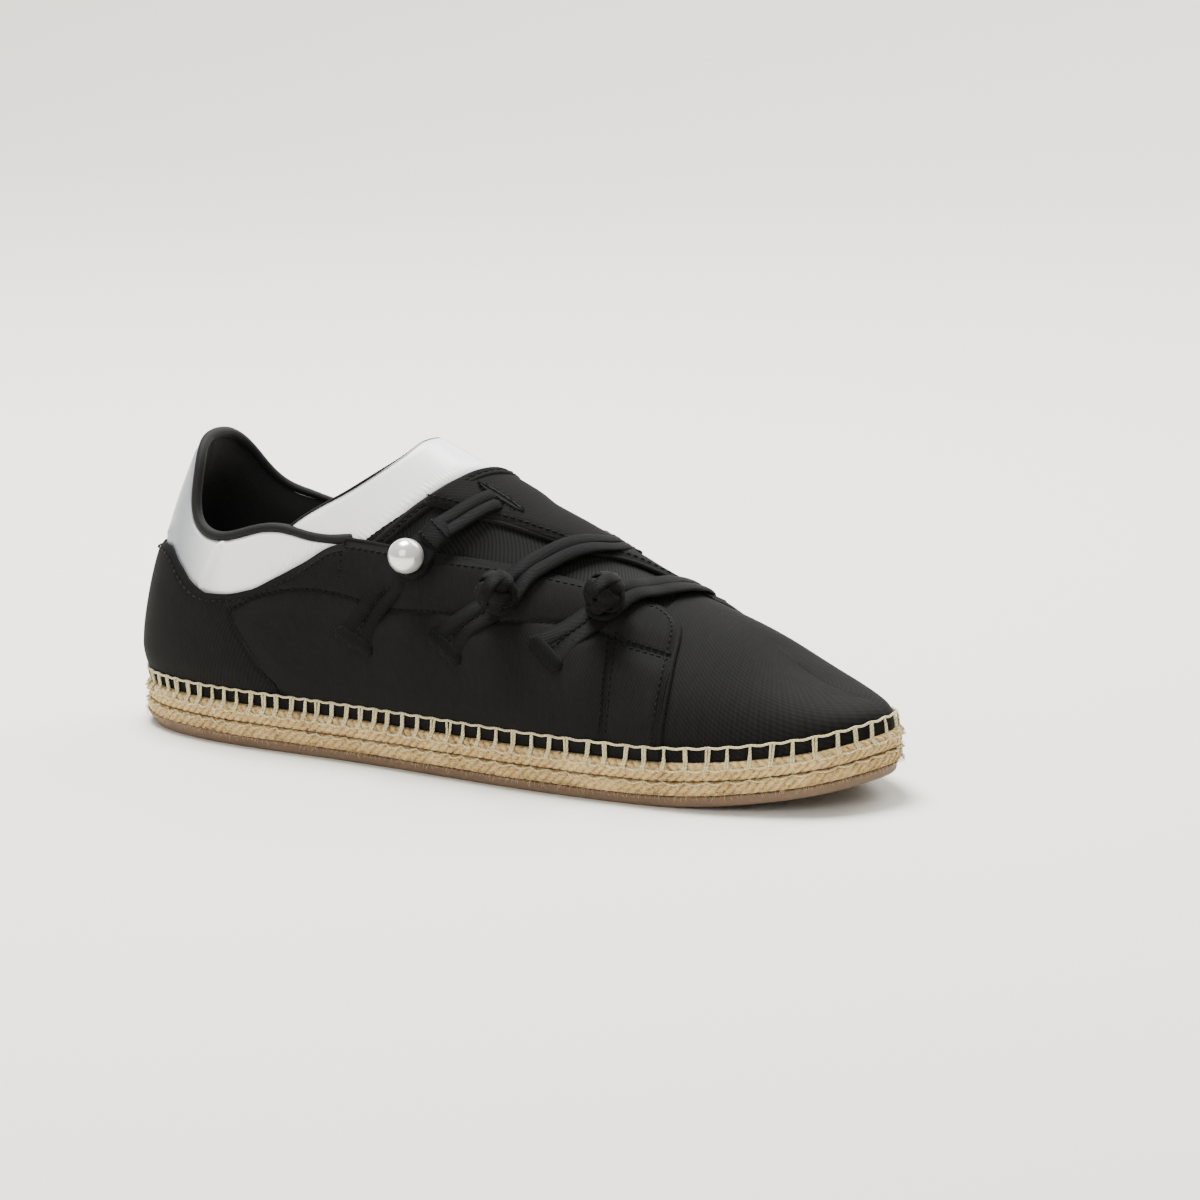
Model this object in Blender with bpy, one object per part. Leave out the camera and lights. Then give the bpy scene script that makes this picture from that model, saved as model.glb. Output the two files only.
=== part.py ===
"""A right low shoe with a rope sole and three frog fastenings.

The upper, tongue, insole and every layer of the sole come from one form: a plan
outline, a ridge and a profile between them, worked out from the length, the ball
and heel widths and the instep height. A place on the form is a station, 0 at the
heel to 1 at the toe tip, and a share across, 0 at the outer (lateral) feather line,
1 on the ridge and 2 at the inner (medial) feather line. Metres, +X to the toe,
+Y to the inner side, +Z up, standing on z = 0.
"""

import bmesh
import bpy
import numpy as np

# Overall sizes
LENGTH = 0.288
BALL_WIDTH = 0.0916
HEEL_WIDTH = 0.0737
INSTEP_HEIGHT = 0.088
# Sole, from the floor up
OUTSOLE_THICK = 0.0038
LOWER_ROPE_THICK = 0.0048
UPPER_ROPE_THICK = 0.0064
ROPE_BULGE = 0.0028
TOE_SPRING = 0.0090
HEEL_LIFT = 0.0018
ARCH_LIFT = 0.0016
INSOLE_THICK = 0.0035
INSOLE_ROUND = 0.0016
# Cloth
WALL = 0.0024
TONGUE_THICK = 0.0016
GAP = 0.0003
TONGUE_GAP = 0.0010
# Fastenings
TUBE_WIDTH = 0.0044
TUBE_HEIGHT = 0.0022
TAB_WIDTH = 0.0094
TAB_THICK = 0.0018
BAR_WIDTH = 0.0150
BAR_DEPTH = 0.0046
NECK_RADIUS = 0.0018
KNOT_RADIUS = 0.0070
KNOT_FLAT = 0.88
PEARL_RADIUS = 0.0064

SOLE_HEIGHT = OUTSOLE_THICK + LOWER_ROPE_THICK + UPPER_ROPE_THICK + 3 * GAP

# Half widths are shares of the width there, which goes from HEEL_WIDTH to BALL_WIDTH
OUTLINE = (
    # station, along, lateral half, medial half
    (0.05, 0.011, 0.235, 0.225),
    (0.12, 0.064, 0.425, 0.400),
    (0.22, 0.166, 0.520, 0.467),
    (0.34, 0.305, 0.500, 0.413),
    (0.46, 0.444, 0.480, 0.388),
    (0.58, 0.583, 0.483, 0.457),
    (0.69, 0.707, 0.478, 0.522),
    (0.79, 0.821, 0.437, 0.505),
    (0.88, 0.911, 0.331, 0.414),
    (0.95, 0.974, 0.164, 0.249),
)
TOE_TIP_SIDE = 0.077

# along: share of LENGTH; side: of BALL_WIDTH; height: of INSTEP_HEIGHT above the feather
RIDGE = (
    # station, along, side, height, bulge, rise, crown
    (0.00, 0.220, 0.030, 1.700, 0.26, 0.12, 0.45),
    (0.12, 0.211, 0.020, 1.690, 0.18, 0.24, 0.41),
    (0.22, 0.227, 0.000, 1.590, 0.10, 0.39, 0.40),
    (0.34, 0.315, -0.012, 1.237, 0.05, 0.51, 0.43),
    (0.46, 0.444, 0.014, 1.000, 0.03, 0.50, 0.48),
    (0.58, 0.583, 0.050, 0.775, 0.03, 0.49, 0.50),
    (0.69, 0.702, 0.073, 0.578, 0.03, 0.50, 0.54),
    (0.79, 0.796, 0.103, 0.448, 0.03, 0.53, 0.59),
    (0.88, 0.837, 0.116, 0.360, 0.03, 0.59, 0.60),
    (1.00, 0.869, 0.117, 0.277, 0.01, 0.61, 0.50),
)

# The outer quarter's top edge: collar, side of the throat, then the vamp seam
LATERAL_EDGE = (
    # station, across
    (0.00, 0.540),
    (0.06, 0.500),
    (0.115, 0.410),
    (0.168, 0.335),
    (0.217, 0.330),
    (0.300, 0.365),
    (0.348, 0.410),
    (0.460, 0.495),
    (0.588, 0.645),
    (0.693, 0.780),
    (0.745, 0.810),
    (0.850, 0.900),
    (1.000, 0.960),
)
# The inner quarter's top edge: collar, then the flap that crosses the ridge
MEDIAL_EDGE = (
    # station, across
    (0.000, 1.460),
    (0.060, 1.500),
    (0.120, 1.584),
    (0.180, 1.644),
    (0.240, 1.665),
    (0.300, 1.596),
    (0.345, 1.470),
    (0.385, 1.280),
    (0.415, 1.000),
    (0.440, 0.700),
    (0.490, 0.705),
    (0.565, 0.790),
    (0.610, 0.870),
    (0.665, 1.060),
    (0.710, 1.160),
    (0.745, 1.190),
    (0.850, 1.100),
    (1.000, 1.040),
)
THROAT_FRONT = 0.745
# The tongue's collar edge, by its share across from outer to inner side
TONGUE_EDGE = (
    # share, station
    (0.00, 0.315),
    (0.10, 0.322),
    (0.20, 0.355),
    (0.38, 0.388),
    (0.56, 0.405),
    (0.86, 0.420),
    (1.00, 0.425),
)
TONGUE_FRONT = 0.800
TONGUE_UNDER = 0.085

# Straps: a doubled tube from the flap or the inner side to its loop
STRAPS = {
    "strap_1": ((0.500, 0.850), (0.492, 0.760), (0.468, 0.620), (0.441, 0.470)),
    "strap_2": ((0.610, 1.190), (0.617, 1.020), (0.602, 0.890), (0.575, 0.680), (0.549, 0.470)),
    "strap_3": ((0.697, 1.345), (0.703, 1.180), (0.698, 1.010), (0.680, 0.830), (0.656, 0.635)),
}
# Tabs: a band from under its button to a cross bar
TABS = {
    "tab_1": ((0.375, 0.170), (0.398, 0.290), (0.420, 0.380), (0.441, 0.470)),
    "tab_2": ((0.485, 0.230), (0.507, 0.330), (0.528, 0.400), (0.549, 0.470)),
    "tab_3": ((0.603, 0.327), (0.622, 0.430), (0.640, 0.530), (0.656, 0.635)),
}
BUTTONS = {
    "pearl": ("strap_1", PEARL_RADIUS, 1.0),
    "knot_2": ("strap_2", KNOT_RADIUS, KNOT_FLAT),
    "knot_3": ("strap_3", KNOT_RADIUS, KNOT_FLAT),
}

COLOURS = {
    # object: colour, roughness
    "outsole": ((0.19, 0.12, 0.085), 0.8),
    "rope_lower": ((0.54, 0.38, 0.20), 0.9),
    "rope_upper": ((0.54, 0.38, 0.20), 0.9),
    "insole": ((0.03, 0.03, 0.03), 0.8),
    "upper": ((0.018, 0.018, 0.019), 0.75),
    "tongue": ((0.022, 0.022, 0.023), 0.8),
    "pearl": ((0.85, 0.83, 0.79), 0.2),
}
CLOTH = ((0.016, 0.016, 0.017), 0.7)


def natural_spline(xs, ys):
    """A natural cubic spline through the rows of ys."""
    xs, ys = np.asarray(xs, float), np.asarray(ys, float)
    count, step = len(xs), np.diff(xs)
    left = np.zeros((count, count))
    right = np.zeros((count,) + ys.shape[1:])
    left[0, 0] = left[-1, -1] = 1
    for i in range(1, count - 1):
        left[i, i - 1 : i + 2] = step[i - 1], 2 * (step[i - 1] + step[i]), step[i]
        right[i] = 6 * ((ys[i + 1] - ys[i]) / step[i] - (ys[i] - ys[i - 1]) / step[i - 1])
    bend = np.linalg.solve(left, right)

    def at(x):
        x = np.asarray(x, float)
        i = np.clip(np.searchsorted(xs, x) - 1, 0, count - 2)
        wide, t, s = step[i], x - xs[i], xs[i + 1] - x
        if ys.ndim > 1:
            wide, t, s = wide[..., None], t[..., None], s[..., None]
        curve = (bend[i] * s**3 + bend[i + 1] * t**3) / (6 * wide)
        return curve + (ys[i] / wide - bend[i] * wide / 6) * s + (ys[i + 1] / wide - bend[i + 1] * wide / 6) * t

    return at


def edge_curve(table):
    """A curve through a two-column table that never passes its own points."""
    xs, ys = np.array(table).T
    slope = np.diff(ys) / np.diff(xs)
    tangent = np.zeros(len(xs))
    for i in range(1, len(xs) - 1):
        if slope[i - 1] * slope[i] > 0:
            tangent[i] = 2 * slope[i - 1] * slope[i] / (slope[i - 1] + slope[i])
    tangent[0], tangent[-1] = slope[0], slope[-1]

    def at(x):
        x = np.clip(np.asarray(x, float), xs[0], xs[-1])
        i = np.clip(np.searchsorted(xs, x) - 1, 0, len(xs) - 2)
        wide = xs[i + 1] - xs[i]
        t = (x - xs[i]) / wide
        return (
            (2 * t**3 - 3 * t**2 + 1) * ys[i]
            + (t**3 - 2 * t**2 + t) * wide * tangent[i]
            + (3 * t**2 - 2 * t**3) * ys[i + 1]
            + (t**3 - t**2) * wide * tangent[i + 1]
        )

    return at


def ease(low, high, x):
    t = np.clip((np.asarray(x, float) - low) / (high - low), 0, 1)
    return t * t * (3 - 2 * t)


def unit(vectors):
    return vectors / np.maximum(np.linalg.norm(vectors, axis=-1, keepdims=True), 1e-12)


def toe_rise(x):
    """How far the toe spring lifts the sole at a length x from the heel."""
    return TOE_SPRING * np.clip((np.asarray(x) / LENGTH - 0.72) / 0.28, 0, None) ** 2


def make_outline():
    rows = np.array(OUTLINE)
    width = HEEL_WIDTH + (BALL_WIDTH - HEEL_WIDTH) * ease(0.2, 0.62, rows[:, 0])
    lateral = np.c_[rows[:, 1] * LENGTH, -rows[:, 2] * width]
    medial = np.c_[rows[:, 1] * LENGTH, rows[:, 3] * width]
    turn = np.r_[0, rows[:, 0], 1, 2 - rows[::-1, 0]]
    tip = [[LENGTH, TOE_TIP_SIDE * BALL_WIDTH]]
    points = np.r_[[[0, 0]], lateral, tip, medial[::-1]]
    return natural_spline(np.r_[turn - 2, turn, turn + 2], np.r_[points, points, points])


outline = make_outline()
ridge = natural_spline([row[0] for row in RIDGE], [row[1:] for row in RIDGE])
lateral_edge = edge_curve(LATERAL_EDGE)
medial_edge = edge_curve(MEDIAL_EDGE)
tongue_edge = edge_curve(TONGUE_EDGE)


def make_ridge_fall():
    """The ridge's slope along its length, so that the profiles cross it smoothly."""
    station = np.linspace(0, 1, 101)
    row = ridge(station)
    x = row[:, 0] * LENGTH
    z = toe_rise(x) + row[:, 2] * INSTEP_HEIGHT
    slope = np.gradient(z) / np.maximum(np.gradient(x), 0.0004)
    return natural_spline(station, np.clip(slope, -0.8, 0) * ease(0.5, 0.7, station))


ridge_fall = make_ridge_fall()


def skin(station, across):
    """The form's outer surface, before the part is moved to its origin."""
    station, across = np.broadcast_arrays(np.asarray(station, float), np.asarray(across, float))
    up = np.where(across <= 1, across, 2 - across)
    foot = outline(np.where(across <= 1, station, 2 - station))
    row = ridge(station)
    top = np.stack([row[..., 0] * LENGTH, row[..., 1] * BALL_WIDTH], -1)
    height, bulge, rise, crown = row[..., 2] * INSTEP_HEIGHT, row[..., 3], row[..., 4], row[..., 5]
    down = 1 - up
    inward = -3 * down**2 * up * bulge + 3 * down * up**2 * (1 - crown) + up**3
    upward = 3 * down**2 * up * rise + 3 * down * up**2 + up**3
    run = top - foot
    low, high = toe_rise(foot[..., 0]), toe_rise(top[..., 0])
    z = SOLE_HEIGHT + low + (high - low) * ease(0, 1, up) + height * upward
    z = z - 3 * down * up**2 * ridge_fall(station) * crown * run[..., 0]
    return np.concatenate([foot + run * inward[..., None], z[..., None]], -1)


def skin_normal(station, across, step=2e-3):
    station, across = np.broadcast_arrays(np.asarray(station, float), np.asarray(across, float))
    along = np.clip(station, 0, 0.985)
    a = skin(np.clip(along + step, 0, 1), across) - skin(np.clip(along - step, 0, 1), across)
    b = skin(along, np.clip(across + step, 0, 2)) - skin(along, np.clip(across - step, 0, 2))
    return unit(np.cross(a, b))


def plan_ring(turn, outset):
    """The feather outline moved outwards in plan. A turn is 0 to 2 round the shoe."""
    step = 1e-3
    tangent = unit(outline(np.mod(turn + step, 2)) - outline(np.mod(turn - step, 2)))
    return outline(turn) + np.stack([tangent[:, 1], -tangent[:, 0]], -1) * outset


def middle_of_sole():
    ring = plan_ring(np.linspace(0, 2, 400, endpoint=False), ROPE_BULGE)
    return (ring.min(0) + ring.max(0)) / 2


MIDDLE = middle_of_sole()


def placed(points):
    """Points on the form moved to the part's origin, under the middle of the sole."""
    return np.asarray(points) - np.array([MIDDLE[0], MIDDLE[1], 0.0])


def add_object(name, points, faces, smooth=True):
    mesh = bpy.data.meshes.new(name)
    mesh.from_pydata([tuple(p) for p in placed(points)], [], faces)
    work = bmesh.new()
    work.from_mesh(mesh)
    bmesh.ops.remove_doubles(work, verts=work.verts, dist=0.00002)
    bmesh.ops.triangulate(work, faces=work.faces)
    bmesh.ops.recalc_face_normals(work, faces=work.faces)
    if work.calc_volume(signed=True) < 0:
        bmesh.ops.reverse_faces(work, faces=work.faces)
    work.to_mesh(mesh)
    work.free()
    if smooth:
        mesh.shade_smooth()
        mesh.set_sharp_from_angle(angle=0.7)
    colour, roughness = COLOURS.get(name, CLOTH)
    material = bpy.data.materials.new(name)
    material.use_nodes = True
    shader = material.node_tree.nodes["Principled BSDF"]
    shader.inputs["Base Color"].default_value = (*colour, 1)
    shader.inputs["Roughness"].default_value = roughness
    mesh.materials.append(material)
    bpy.context.scene.collection.objects.link(bpy.data.objects.new(name, mesh))


def grid_faces(rows, columns, first=0, turned=False):
    """Quads between the points of a grid whose points are numbered row by row."""
    faces = []
    for i in range(rows - 1):
        for j in range(columns - 1):
            a = first + i * columns + j
            quad = (a, a + 1, a + columns + 1, a + columns)
            faces.append(quad[::-1] if turned else quad)
    return faces


def add_slab(name, profile, stations=34, lanes=4):
    """A layer with the sole's outline. Its profile gives, from the top edge down,
    how far each ring is outside the outline and its height as a function of x, y."""
    sides = np.linspace(0, 1, stations + 1)
    turn = np.r_[sides, 2 - sides[-2:0:-1]]
    count = len(turn)
    points, faces = [], []
    for outset, level in profile:
        ring = plan_ring(turn, outset)
        points.append(np.c_[ring, level(ring[:, 0], ring[:, 1])])
    points = np.concatenate(points)
    for r in range(len(profile) - 1):
        for i in range(count):
            a, b = r * count + i, r * count + (i + 1) % count
            faces.append((a, b, b + count, a + count))
    for r, turned in ((0, False), (len(profile) - 1, True)):
        level = profile[r][1]
        ring = points[r * count : (r + 1) * count, :2]
        lateral, medial = ring[: stations + 1], np.r_[ring[:1], ring[stations:][::-1]]
        share = np.linspace(0, 1, lanes + 1)[None, :, None]
        cap = (lateral[:, None] * (1 - share) + medial[:, None] * share).reshape(-1, 2)
        first = len(points)
        points = np.concatenate([points, np.c_[cap, level(cap[:, 0], cap[:, 1])]])
        faces += grid_faces(stations + 1, lanes + 1, first, turned)
    add_object(name, points, faces)


def floor_side(x, y):
    """The outsole's underside: flat at heel and forefoot, lifted at toe, heel and arch."""
    along = x / LENGTH
    arch = np.sin(np.pi * np.clip((along - 0.26) / 0.34, 0, 1)) ** 2
    inner = ease(-0.2, 0.45, y / BALL_WIDTH)
    heel = HEEL_LIFT * np.clip((0.055 - along) / 0.055, 0, 1) ** 2
    return toe_rise(x) + heel + ARCH_LIFT * arch * inner


def layer(height):
    return lambda x, y: toe_rise(x) + height


def add_sole():
    top = OUTSOLE_THICK
    add_slab(
        "outsole",
        (
            (ROPE_BULGE * 0.55, layer(top)),
            (ROPE_BULGE * 0.45, lambda x, y: floor_side(x, y) + OUTSOLE_THICK * 0.35),
            (ROPE_BULGE * 0.10, floor_side),
        ),
        lanes=6,
    )
    bottom, top = top + GAP, top + GAP + LOWER_ROPE_THICK
    add_rope("rope_lower", bottom, top, (0.80, 1.00, 0.92, 0.60))
    bottom, top = top + GAP, top + GAP + UPPER_ROPE_THICK
    add_rope("rope_upper", bottom, top, (0.25, 0.85, 1.00, 0.80))
    inset = -(WALL + GAP)
    add_slab(
        "insole",
        (
            (inset - INSOLE_ROUND, layer(top + GAP + INSOLE_THICK)),
            (inset - INSOLE_ROUND * 0.4, layer(top + GAP + INSOLE_THICK * 0.5)),
            (inset - GAP, layer(top + GAP)),
        ),
        lanes=2,
    )


def add_rope(name, bottom, top, swell):
    """One tier of rope, its side swelling by shares of ROPE_BULGE from top to bottom."""
    heights = (1.0, 0.78, 0.38, 0.0)
    add_slab(
        name,
        [(ROPE_BULGE * s, layer(bottom + (top - bottom) * h)) for s, h in zip(swell, heights)],
        lanes=2,
    )


def add_upper(stations=46, rows=10, bridge=2):
    """The shell: two sides from the feather line to their edges, joined in front of the throat."""
    front = round(stations * 0.72)
    along = np.r_[np.linspace(0, THROAT_FRONT, front + 1), [row[0] for row in MEDIAL_EDGE[8:10]]]
    along = np.unique(np.round(np.r_[along, 0.5 * (MEDIAL_EDGE[8][0] + MEDIAL_EDGE[9][0])], 6))
    front = len(along) - 1
    along = np.r_[along, np.linspace(THROAT_FRONT, 1, round(stations * 0.28) + 1)[1:]]
    points, inner_points = [], []
    columns = 2 * rows + bridge + 1
    for u in along:
        low, high = float(lateral_edge(u)), float(medial_edge(u))
        if u == 1:
            high = 2 - low
        across = np.r_[np.linspace(0, low, rows + 1), np.linspace(low, high, bridge + 1)[1:-1], np.linspace(high, 2, rows + 1)]
        outer = skin(u, across)
        inner = outer - skin_normal(u, across) * WALL
        for j, turn in ((0, u), (columns - 1, 2 - u)):
            inner[j, :2] = plan_ring(np.array([turn]), -WALL)[0]
            inner[j, 2] = outer[j, 2]
        points.append(outer)
        inner_points.append(inner)
    # The two sides' shared curves at heel and toe get one inner curve
    for i in (0, len(along) - 1):
        both = (inner_points[i] + inner_points[i][::-1]) / 2
        inner_points[i] = both
    points = np.concatenate(points + inner_points)
    half = len(along) * columns
    faces = []
    for i in range(len(along) - 1):
        for j in range(columns - 1):
            if rows <= j < rows + bridge and i < front:
                continue
            a = i * columns + j
            faces.append((a, a + 1, a + columns + 1, a + columns))
            faces.append((half + a, half + a + columns, half + a + columns + 1, half + a + 1))
    edges = [(i * columns + j, (i + 1) * columns + j) for i in range(len(along) - 1) for j in (0, columns - 1)]
    edges += [(i * columns + j, (i + 1) * columns + j) for i in range(front) for j in (rows, rows + bridge)]
    edges += [(front * columns + j, front * columns + j + 1) for j in range(rows, rows + bridge)]
    faces += [(a, b, b + half, a + half) for a, b in edges]
    add_object("upper", points, faces)


def add_sheet(name, place, depth, thick, rows, columns):
    """A closed sheet under the form's surface; place gives station and across by row and column shares."""
    r, c = np.meshgrid(np.linspace(0, 1, rows), np.linspace(0, 1, columns), indexing="ij")
    station, across = place(r, c)
    outer, normal = skin(station, across), skin_normal(station, across)
    points = np.concatenate([(outer - normal * d).reshape(-1, 3) for d in (depth, depth + thick)])
    half = rows * columns
    faces = grid_faces(rows, columns) + grid_faces(rows, columns, half, True)
    rim = [(i, 0) for i in range(rows)] + [(rows - 1, j) for j in range(1, columns)]
    rim += [(i, columns - 1) for i in range(rows - 2, -1, -1)] + [(0, j) for j in range(columns - 2, 0, -1)]
    ring = [i * columns + j for i, j in rim]
    faces += [(a, b, b + half, a + half) for a, b in zip(ring, ring[1:] + ring[:1])]
    add_object(name, points, faces)


def tongue_place(r, c):
    station = tongue_edge(c) + (TONGUE_FRONT - tongue_edge(c)) * r
    low = lateral_edge(station) - TONGUE_UNDER
    high = medial_edge(station) + TONGUE_UNDER
    return station, low + (high - low) * c


def surface_path(table, count):
    """Evenly spaced places along a smooth path on the form, with their frames."""
    table = np.array(table)
    turn = np.linspace(0, 1, len(table))
    fine = natural_spline(turn, table)(np.linspace(0, 1, 200))
    run = np.r_[0, np.cumsum(np.linalg.norm(np.diff(skin(fine[:, 0], fine[:, 1]), axis=0), axis=1))]
    at = np.linspace(0, run[-1], count)
    places = np.stack([np.interp(at, run, fine[:, k]) for k in (0, 1)], -1)
    centre = skin(places[:, 0], places[:, 1])
    normal = skin_normal(places[:, 0], places[:, 1])
    ahead = unit(np.gradient(centre, axis=0))
    return at, places, unit(np.cross(normal, ahead)), ahead


def beside_path(path, cut, aside):
    """The form's point and normal at a length along a path and a length to its side."""
    at, places, side, ahead = path
    place = np.array([np.interp(cut, at, places[:, k]) for k in (0, 1)])
    across = unit(np.array([np.interp(cut, at, side[:, k]) for k in range(3)]))
    beyond = unit(np.array([np.interp(cut, at, ahead[:, k]) for k in range(3)])) * max(cut - at[-1], 0)
    goal = skin(*place) + across * aside + beyond
    for _ in range(4):
        here = skin(*place)
        step = 1e-3
        slope = np.stack([(skin(place[0] + step, place[1]) - here) / step, (skin(place[0], place[1] + step) - here) / step], -1)
        place = place + np.linalg.lstsq(slope, goal - here, rcond=None)[0]
    return skin(*place), skin_normal(*place)


def sweep(name, rings):
    """A closed solid through rings of points, with flat ends."""
    rings = np.asarray(rings)
    count, sides = rings.shape[:2]
    faces = []
    for i in range(count - 1):
        for j in range(sides):
            a, b = i * sides + j, i * sides + (j + 1) % sides
            faces.append((a, b, b + sides, a + sides))
    faces += [tuple(range(sides))[::-1], tuple((count - 1) * sides + j for j in range(sides))]
    add_object(name, rings.reshape(-1, 3), faces)


def add_tab(name, table):
    """A flat band with a wide end bar, lying on the form."""
    path = surface_path(table, 9)
    at = path[0]
    cuts = np.r_[0, BAR_DEPTH * 0.97, BAR_DEPTH * 1.03, at[2:]]
    widths = np.r_[BAR_WIDTH, BAR_WIDTH, TAB_WIDTH, np.full(len(at) - 2, TAB_WIDTH)]
    shape = ((-0.5, 0), (-0.22, 0), (0.0, 0), (0.22, 0), (0.5, 0), (0.5, 0.6), (0.42, 1), (-0.42, 1), (-0.5, 0.6))
    rings = []
    for cut, width in zip(cuts, widths):
        ring = []
        for across, up in shape:
            p, n = beside_path(path, cut, across * width)
            ring.append(p + n * (GAP + TAB_THICK * up))
        rings.append(ring)
    sweep(name, rings)


def add_strap(name, table):
    """A tube doubled back round the button's neck, its two runs side by side."""
    path = surface_path(table, 40)
    reach = path[0][-1]
    apart = (TUBE_WIDTH + GAP) / 2
    loop = NECK_RADIUS + GAP + TUBE_WIDTH / 2
    throat = 2.6 * loop
    half = [(cut, apart) for cut in np.linspace(0, reach - throat, 9)]
    for k in range(1, 4):
        t = k / 4
        half.append((reach - throat + (throat - loop * 0.6) * t, apart + (loop * 0.8 - apart) * ease(0, 1, t)))
    half += [(reach, loop), (reach + loop * 0.62, loop * 0.79)]
    run = np.array(half + [(reach + loop, 0.0)] + [(s, -l) for s, l in half[::-1]])
    heading = unit(np.gradient(run, axis=0))
    climb = TAB_THICK + GAP
    angles = np.linspace(0, 2 * np.pi, 8, endpoint=False) + np.pi / 8
    rings = []
    for (cut, lateral), (ahead, aside) in zip(run, heading):
        lift = GAP + climb * float(ease(reach - throat * 1.9, reach - throat * 1.05, cut)) + TUBE_HEIGHT / 2
        ring = []
        for angle in angles:
            out = np.cos(angle) * TUBE_WIDTH / 2
            p, n = beside_path(path, cut - aside * out, lateral + ahead * out)
            ring.append(p + n * (lift + np.sin(angle) * TUBE_HEIGHT / 2))
        rings.append(ring)
    sweep(name, rings)


def add_button(name, strap, radius, flat, sides=14):
    """A ball on a short neck that stands on its tab, through the strap's loop."""
    station, across = STRAPS[strap][-1]
    foot, normal = skin(station, across), skin_normal(station, across)
    side = unit(np.cross(normal, np.array([1.0, 0.0, 0.0])))
    ahead = np.cross(side, normal)
    loop_top = GAP + TAB_THICK + GAP + TUBE_HEIGHT + GAP
    start = GAP + TAB_THICK + GAP
    inner_edge = NECK_RADIUS + GAP
    centre = loop_top + radius * flat * np.sqrt(1 - (inner_edge / radius) ** 2)
    lowest = -np.arccos(NECK_RADIUS / radius)
    profile = [(NECK_RADIUS, start)]
    for angle in np.linspace(lowest, np.pi / 2, 9)[:-1]:
        profile.append((radius * np.cos(angle), centre + radius * flat * np.sin(angle)))
    points, faces = [foot + normal * start], []
    for r, h in profile:
        for angle in np.linspace(0, 2 * np.pi, sides, endpoint=False):
            points.append(foot + normal * h + (ahead * np.cos(angle) + side * np.sin(angle)) * r)
    points.append(foot + normal * (centre + radius * flat))
    for j in range(sides):
        k = (j + 1) % sides
        faces.append((0, 1 + k, 1 + j))
        for i in range(len(profile) - 1):
            a = 1 + i * sides
            faces.append((a + j, a + k, a + sides + k, a + sides + j))
        last = 1 + (len(profile) - 1) * sides
        faces.append((last + j, last + k, len(points) - 1))
    add_object(name, points, faces)


def main():
    for item in list(bpy.data.objects):
        bpy.data.objects.remove(item, do_unlink=True)
    add_sole()
    add_upper()
    add_sheet("tongue", tongue_place, WALL + TONGUE_GAP, TONGUE_THICK, 15, 9)
    for name, table in TABS.items():
        add_tab(name, table)
    for name, table in STRAPS.items():
        add_strap(name, table)
    for name, (strap, radius, flat) in BUTTONS.items():
        add_button(name, strap, radius, flat)


main()
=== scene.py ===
"""A right shoe of black cloth and white satin on a two-tier rope sole, with three frog
fastenings: two woven button knots and a pearl.

A place on the shoe's form is a station, 0 at the heel to 1 at the toe tip, and a share
across, 0 at the outer feather line, 1 on the ridge and 2 at the inner feather line.
"""

import math

import bmesh
import bpy
import numpy as np
from mathutils import Matrix, Vector


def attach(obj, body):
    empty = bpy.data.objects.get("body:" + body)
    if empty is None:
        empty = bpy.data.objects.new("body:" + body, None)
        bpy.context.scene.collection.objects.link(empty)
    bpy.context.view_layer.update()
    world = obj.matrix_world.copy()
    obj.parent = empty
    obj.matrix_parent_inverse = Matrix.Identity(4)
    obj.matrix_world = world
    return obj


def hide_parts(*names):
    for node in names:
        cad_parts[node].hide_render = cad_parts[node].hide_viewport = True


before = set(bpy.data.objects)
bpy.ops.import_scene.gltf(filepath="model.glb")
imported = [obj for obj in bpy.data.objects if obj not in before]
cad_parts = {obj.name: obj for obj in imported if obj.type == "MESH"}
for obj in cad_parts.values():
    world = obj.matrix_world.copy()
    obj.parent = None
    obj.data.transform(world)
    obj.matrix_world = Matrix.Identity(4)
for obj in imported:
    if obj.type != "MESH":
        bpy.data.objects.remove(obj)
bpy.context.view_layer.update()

# Sizes of the shoe, in metres
LENGTH = 0.288
BALL_WIDTH = 0.0916
HEEL_WIDTH = 0.0737
INSTEP_HEIGHT = 0.088
OUTSOLE_THICK = 0.0038
LOWER_ROPE_THICK = 0.0048
UPPER_ROPE_THICK = 0.0064
ROPE_BULGE = 0.0028
TOE_SPRING = 0.0090
HEEL_LIFT = 0.0018
ARCH_LIFT = 0.0016
INSOLE_THICK = 0.0035
WALL = 0.0024
GAP = 0.0003
TUBE_WIDTH = 0.0044
TUBE_HEIGHT = 0.0024
TAB_THICK = 0.0018
NECK_RADIUS = 0.0018
KNOT_RADIUS = 0.0070
KNOT_FLAT = 0.88
PEARL_RADIUS = 0.0064
SOLE_HEIGHT = OUTSOLE_THICK + LOWER_ROPE_THICK + UPPER_ROPE_THICK + 3 * GAP
LOWER_ROPE_FOOT = OUTSOLE_THICK + GAP
UPPER_ROPE_FOOT = LOWER_ROPE_FOOT + LOWER_ROPE_THICK + GAP
STITCH_PITCH = 0.0074
STITCH_RISE = 0.0049
YARN_RADIUS = 0.00044
UPPER_STRAND = 0.0031
LOWER_STRAND = 0.0033
UPPER_SLANT = 1.9
LOWER_SLANT = -1.3
BRAID_MIDDLE = 0.52
CLOTH_THICK = 0.0008
SATIN_THICK = 0.0007
CLOTH_LEVEL = 0.0007
CLOTH_TOP = 0.0011
COLLAR_RUN = 0.40
BAND_RUN = 0.17
SEAM_INSET = 0.0026
TWIN_INSET = 0.0013
SAMPLE_STEP = 1e-3

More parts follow.
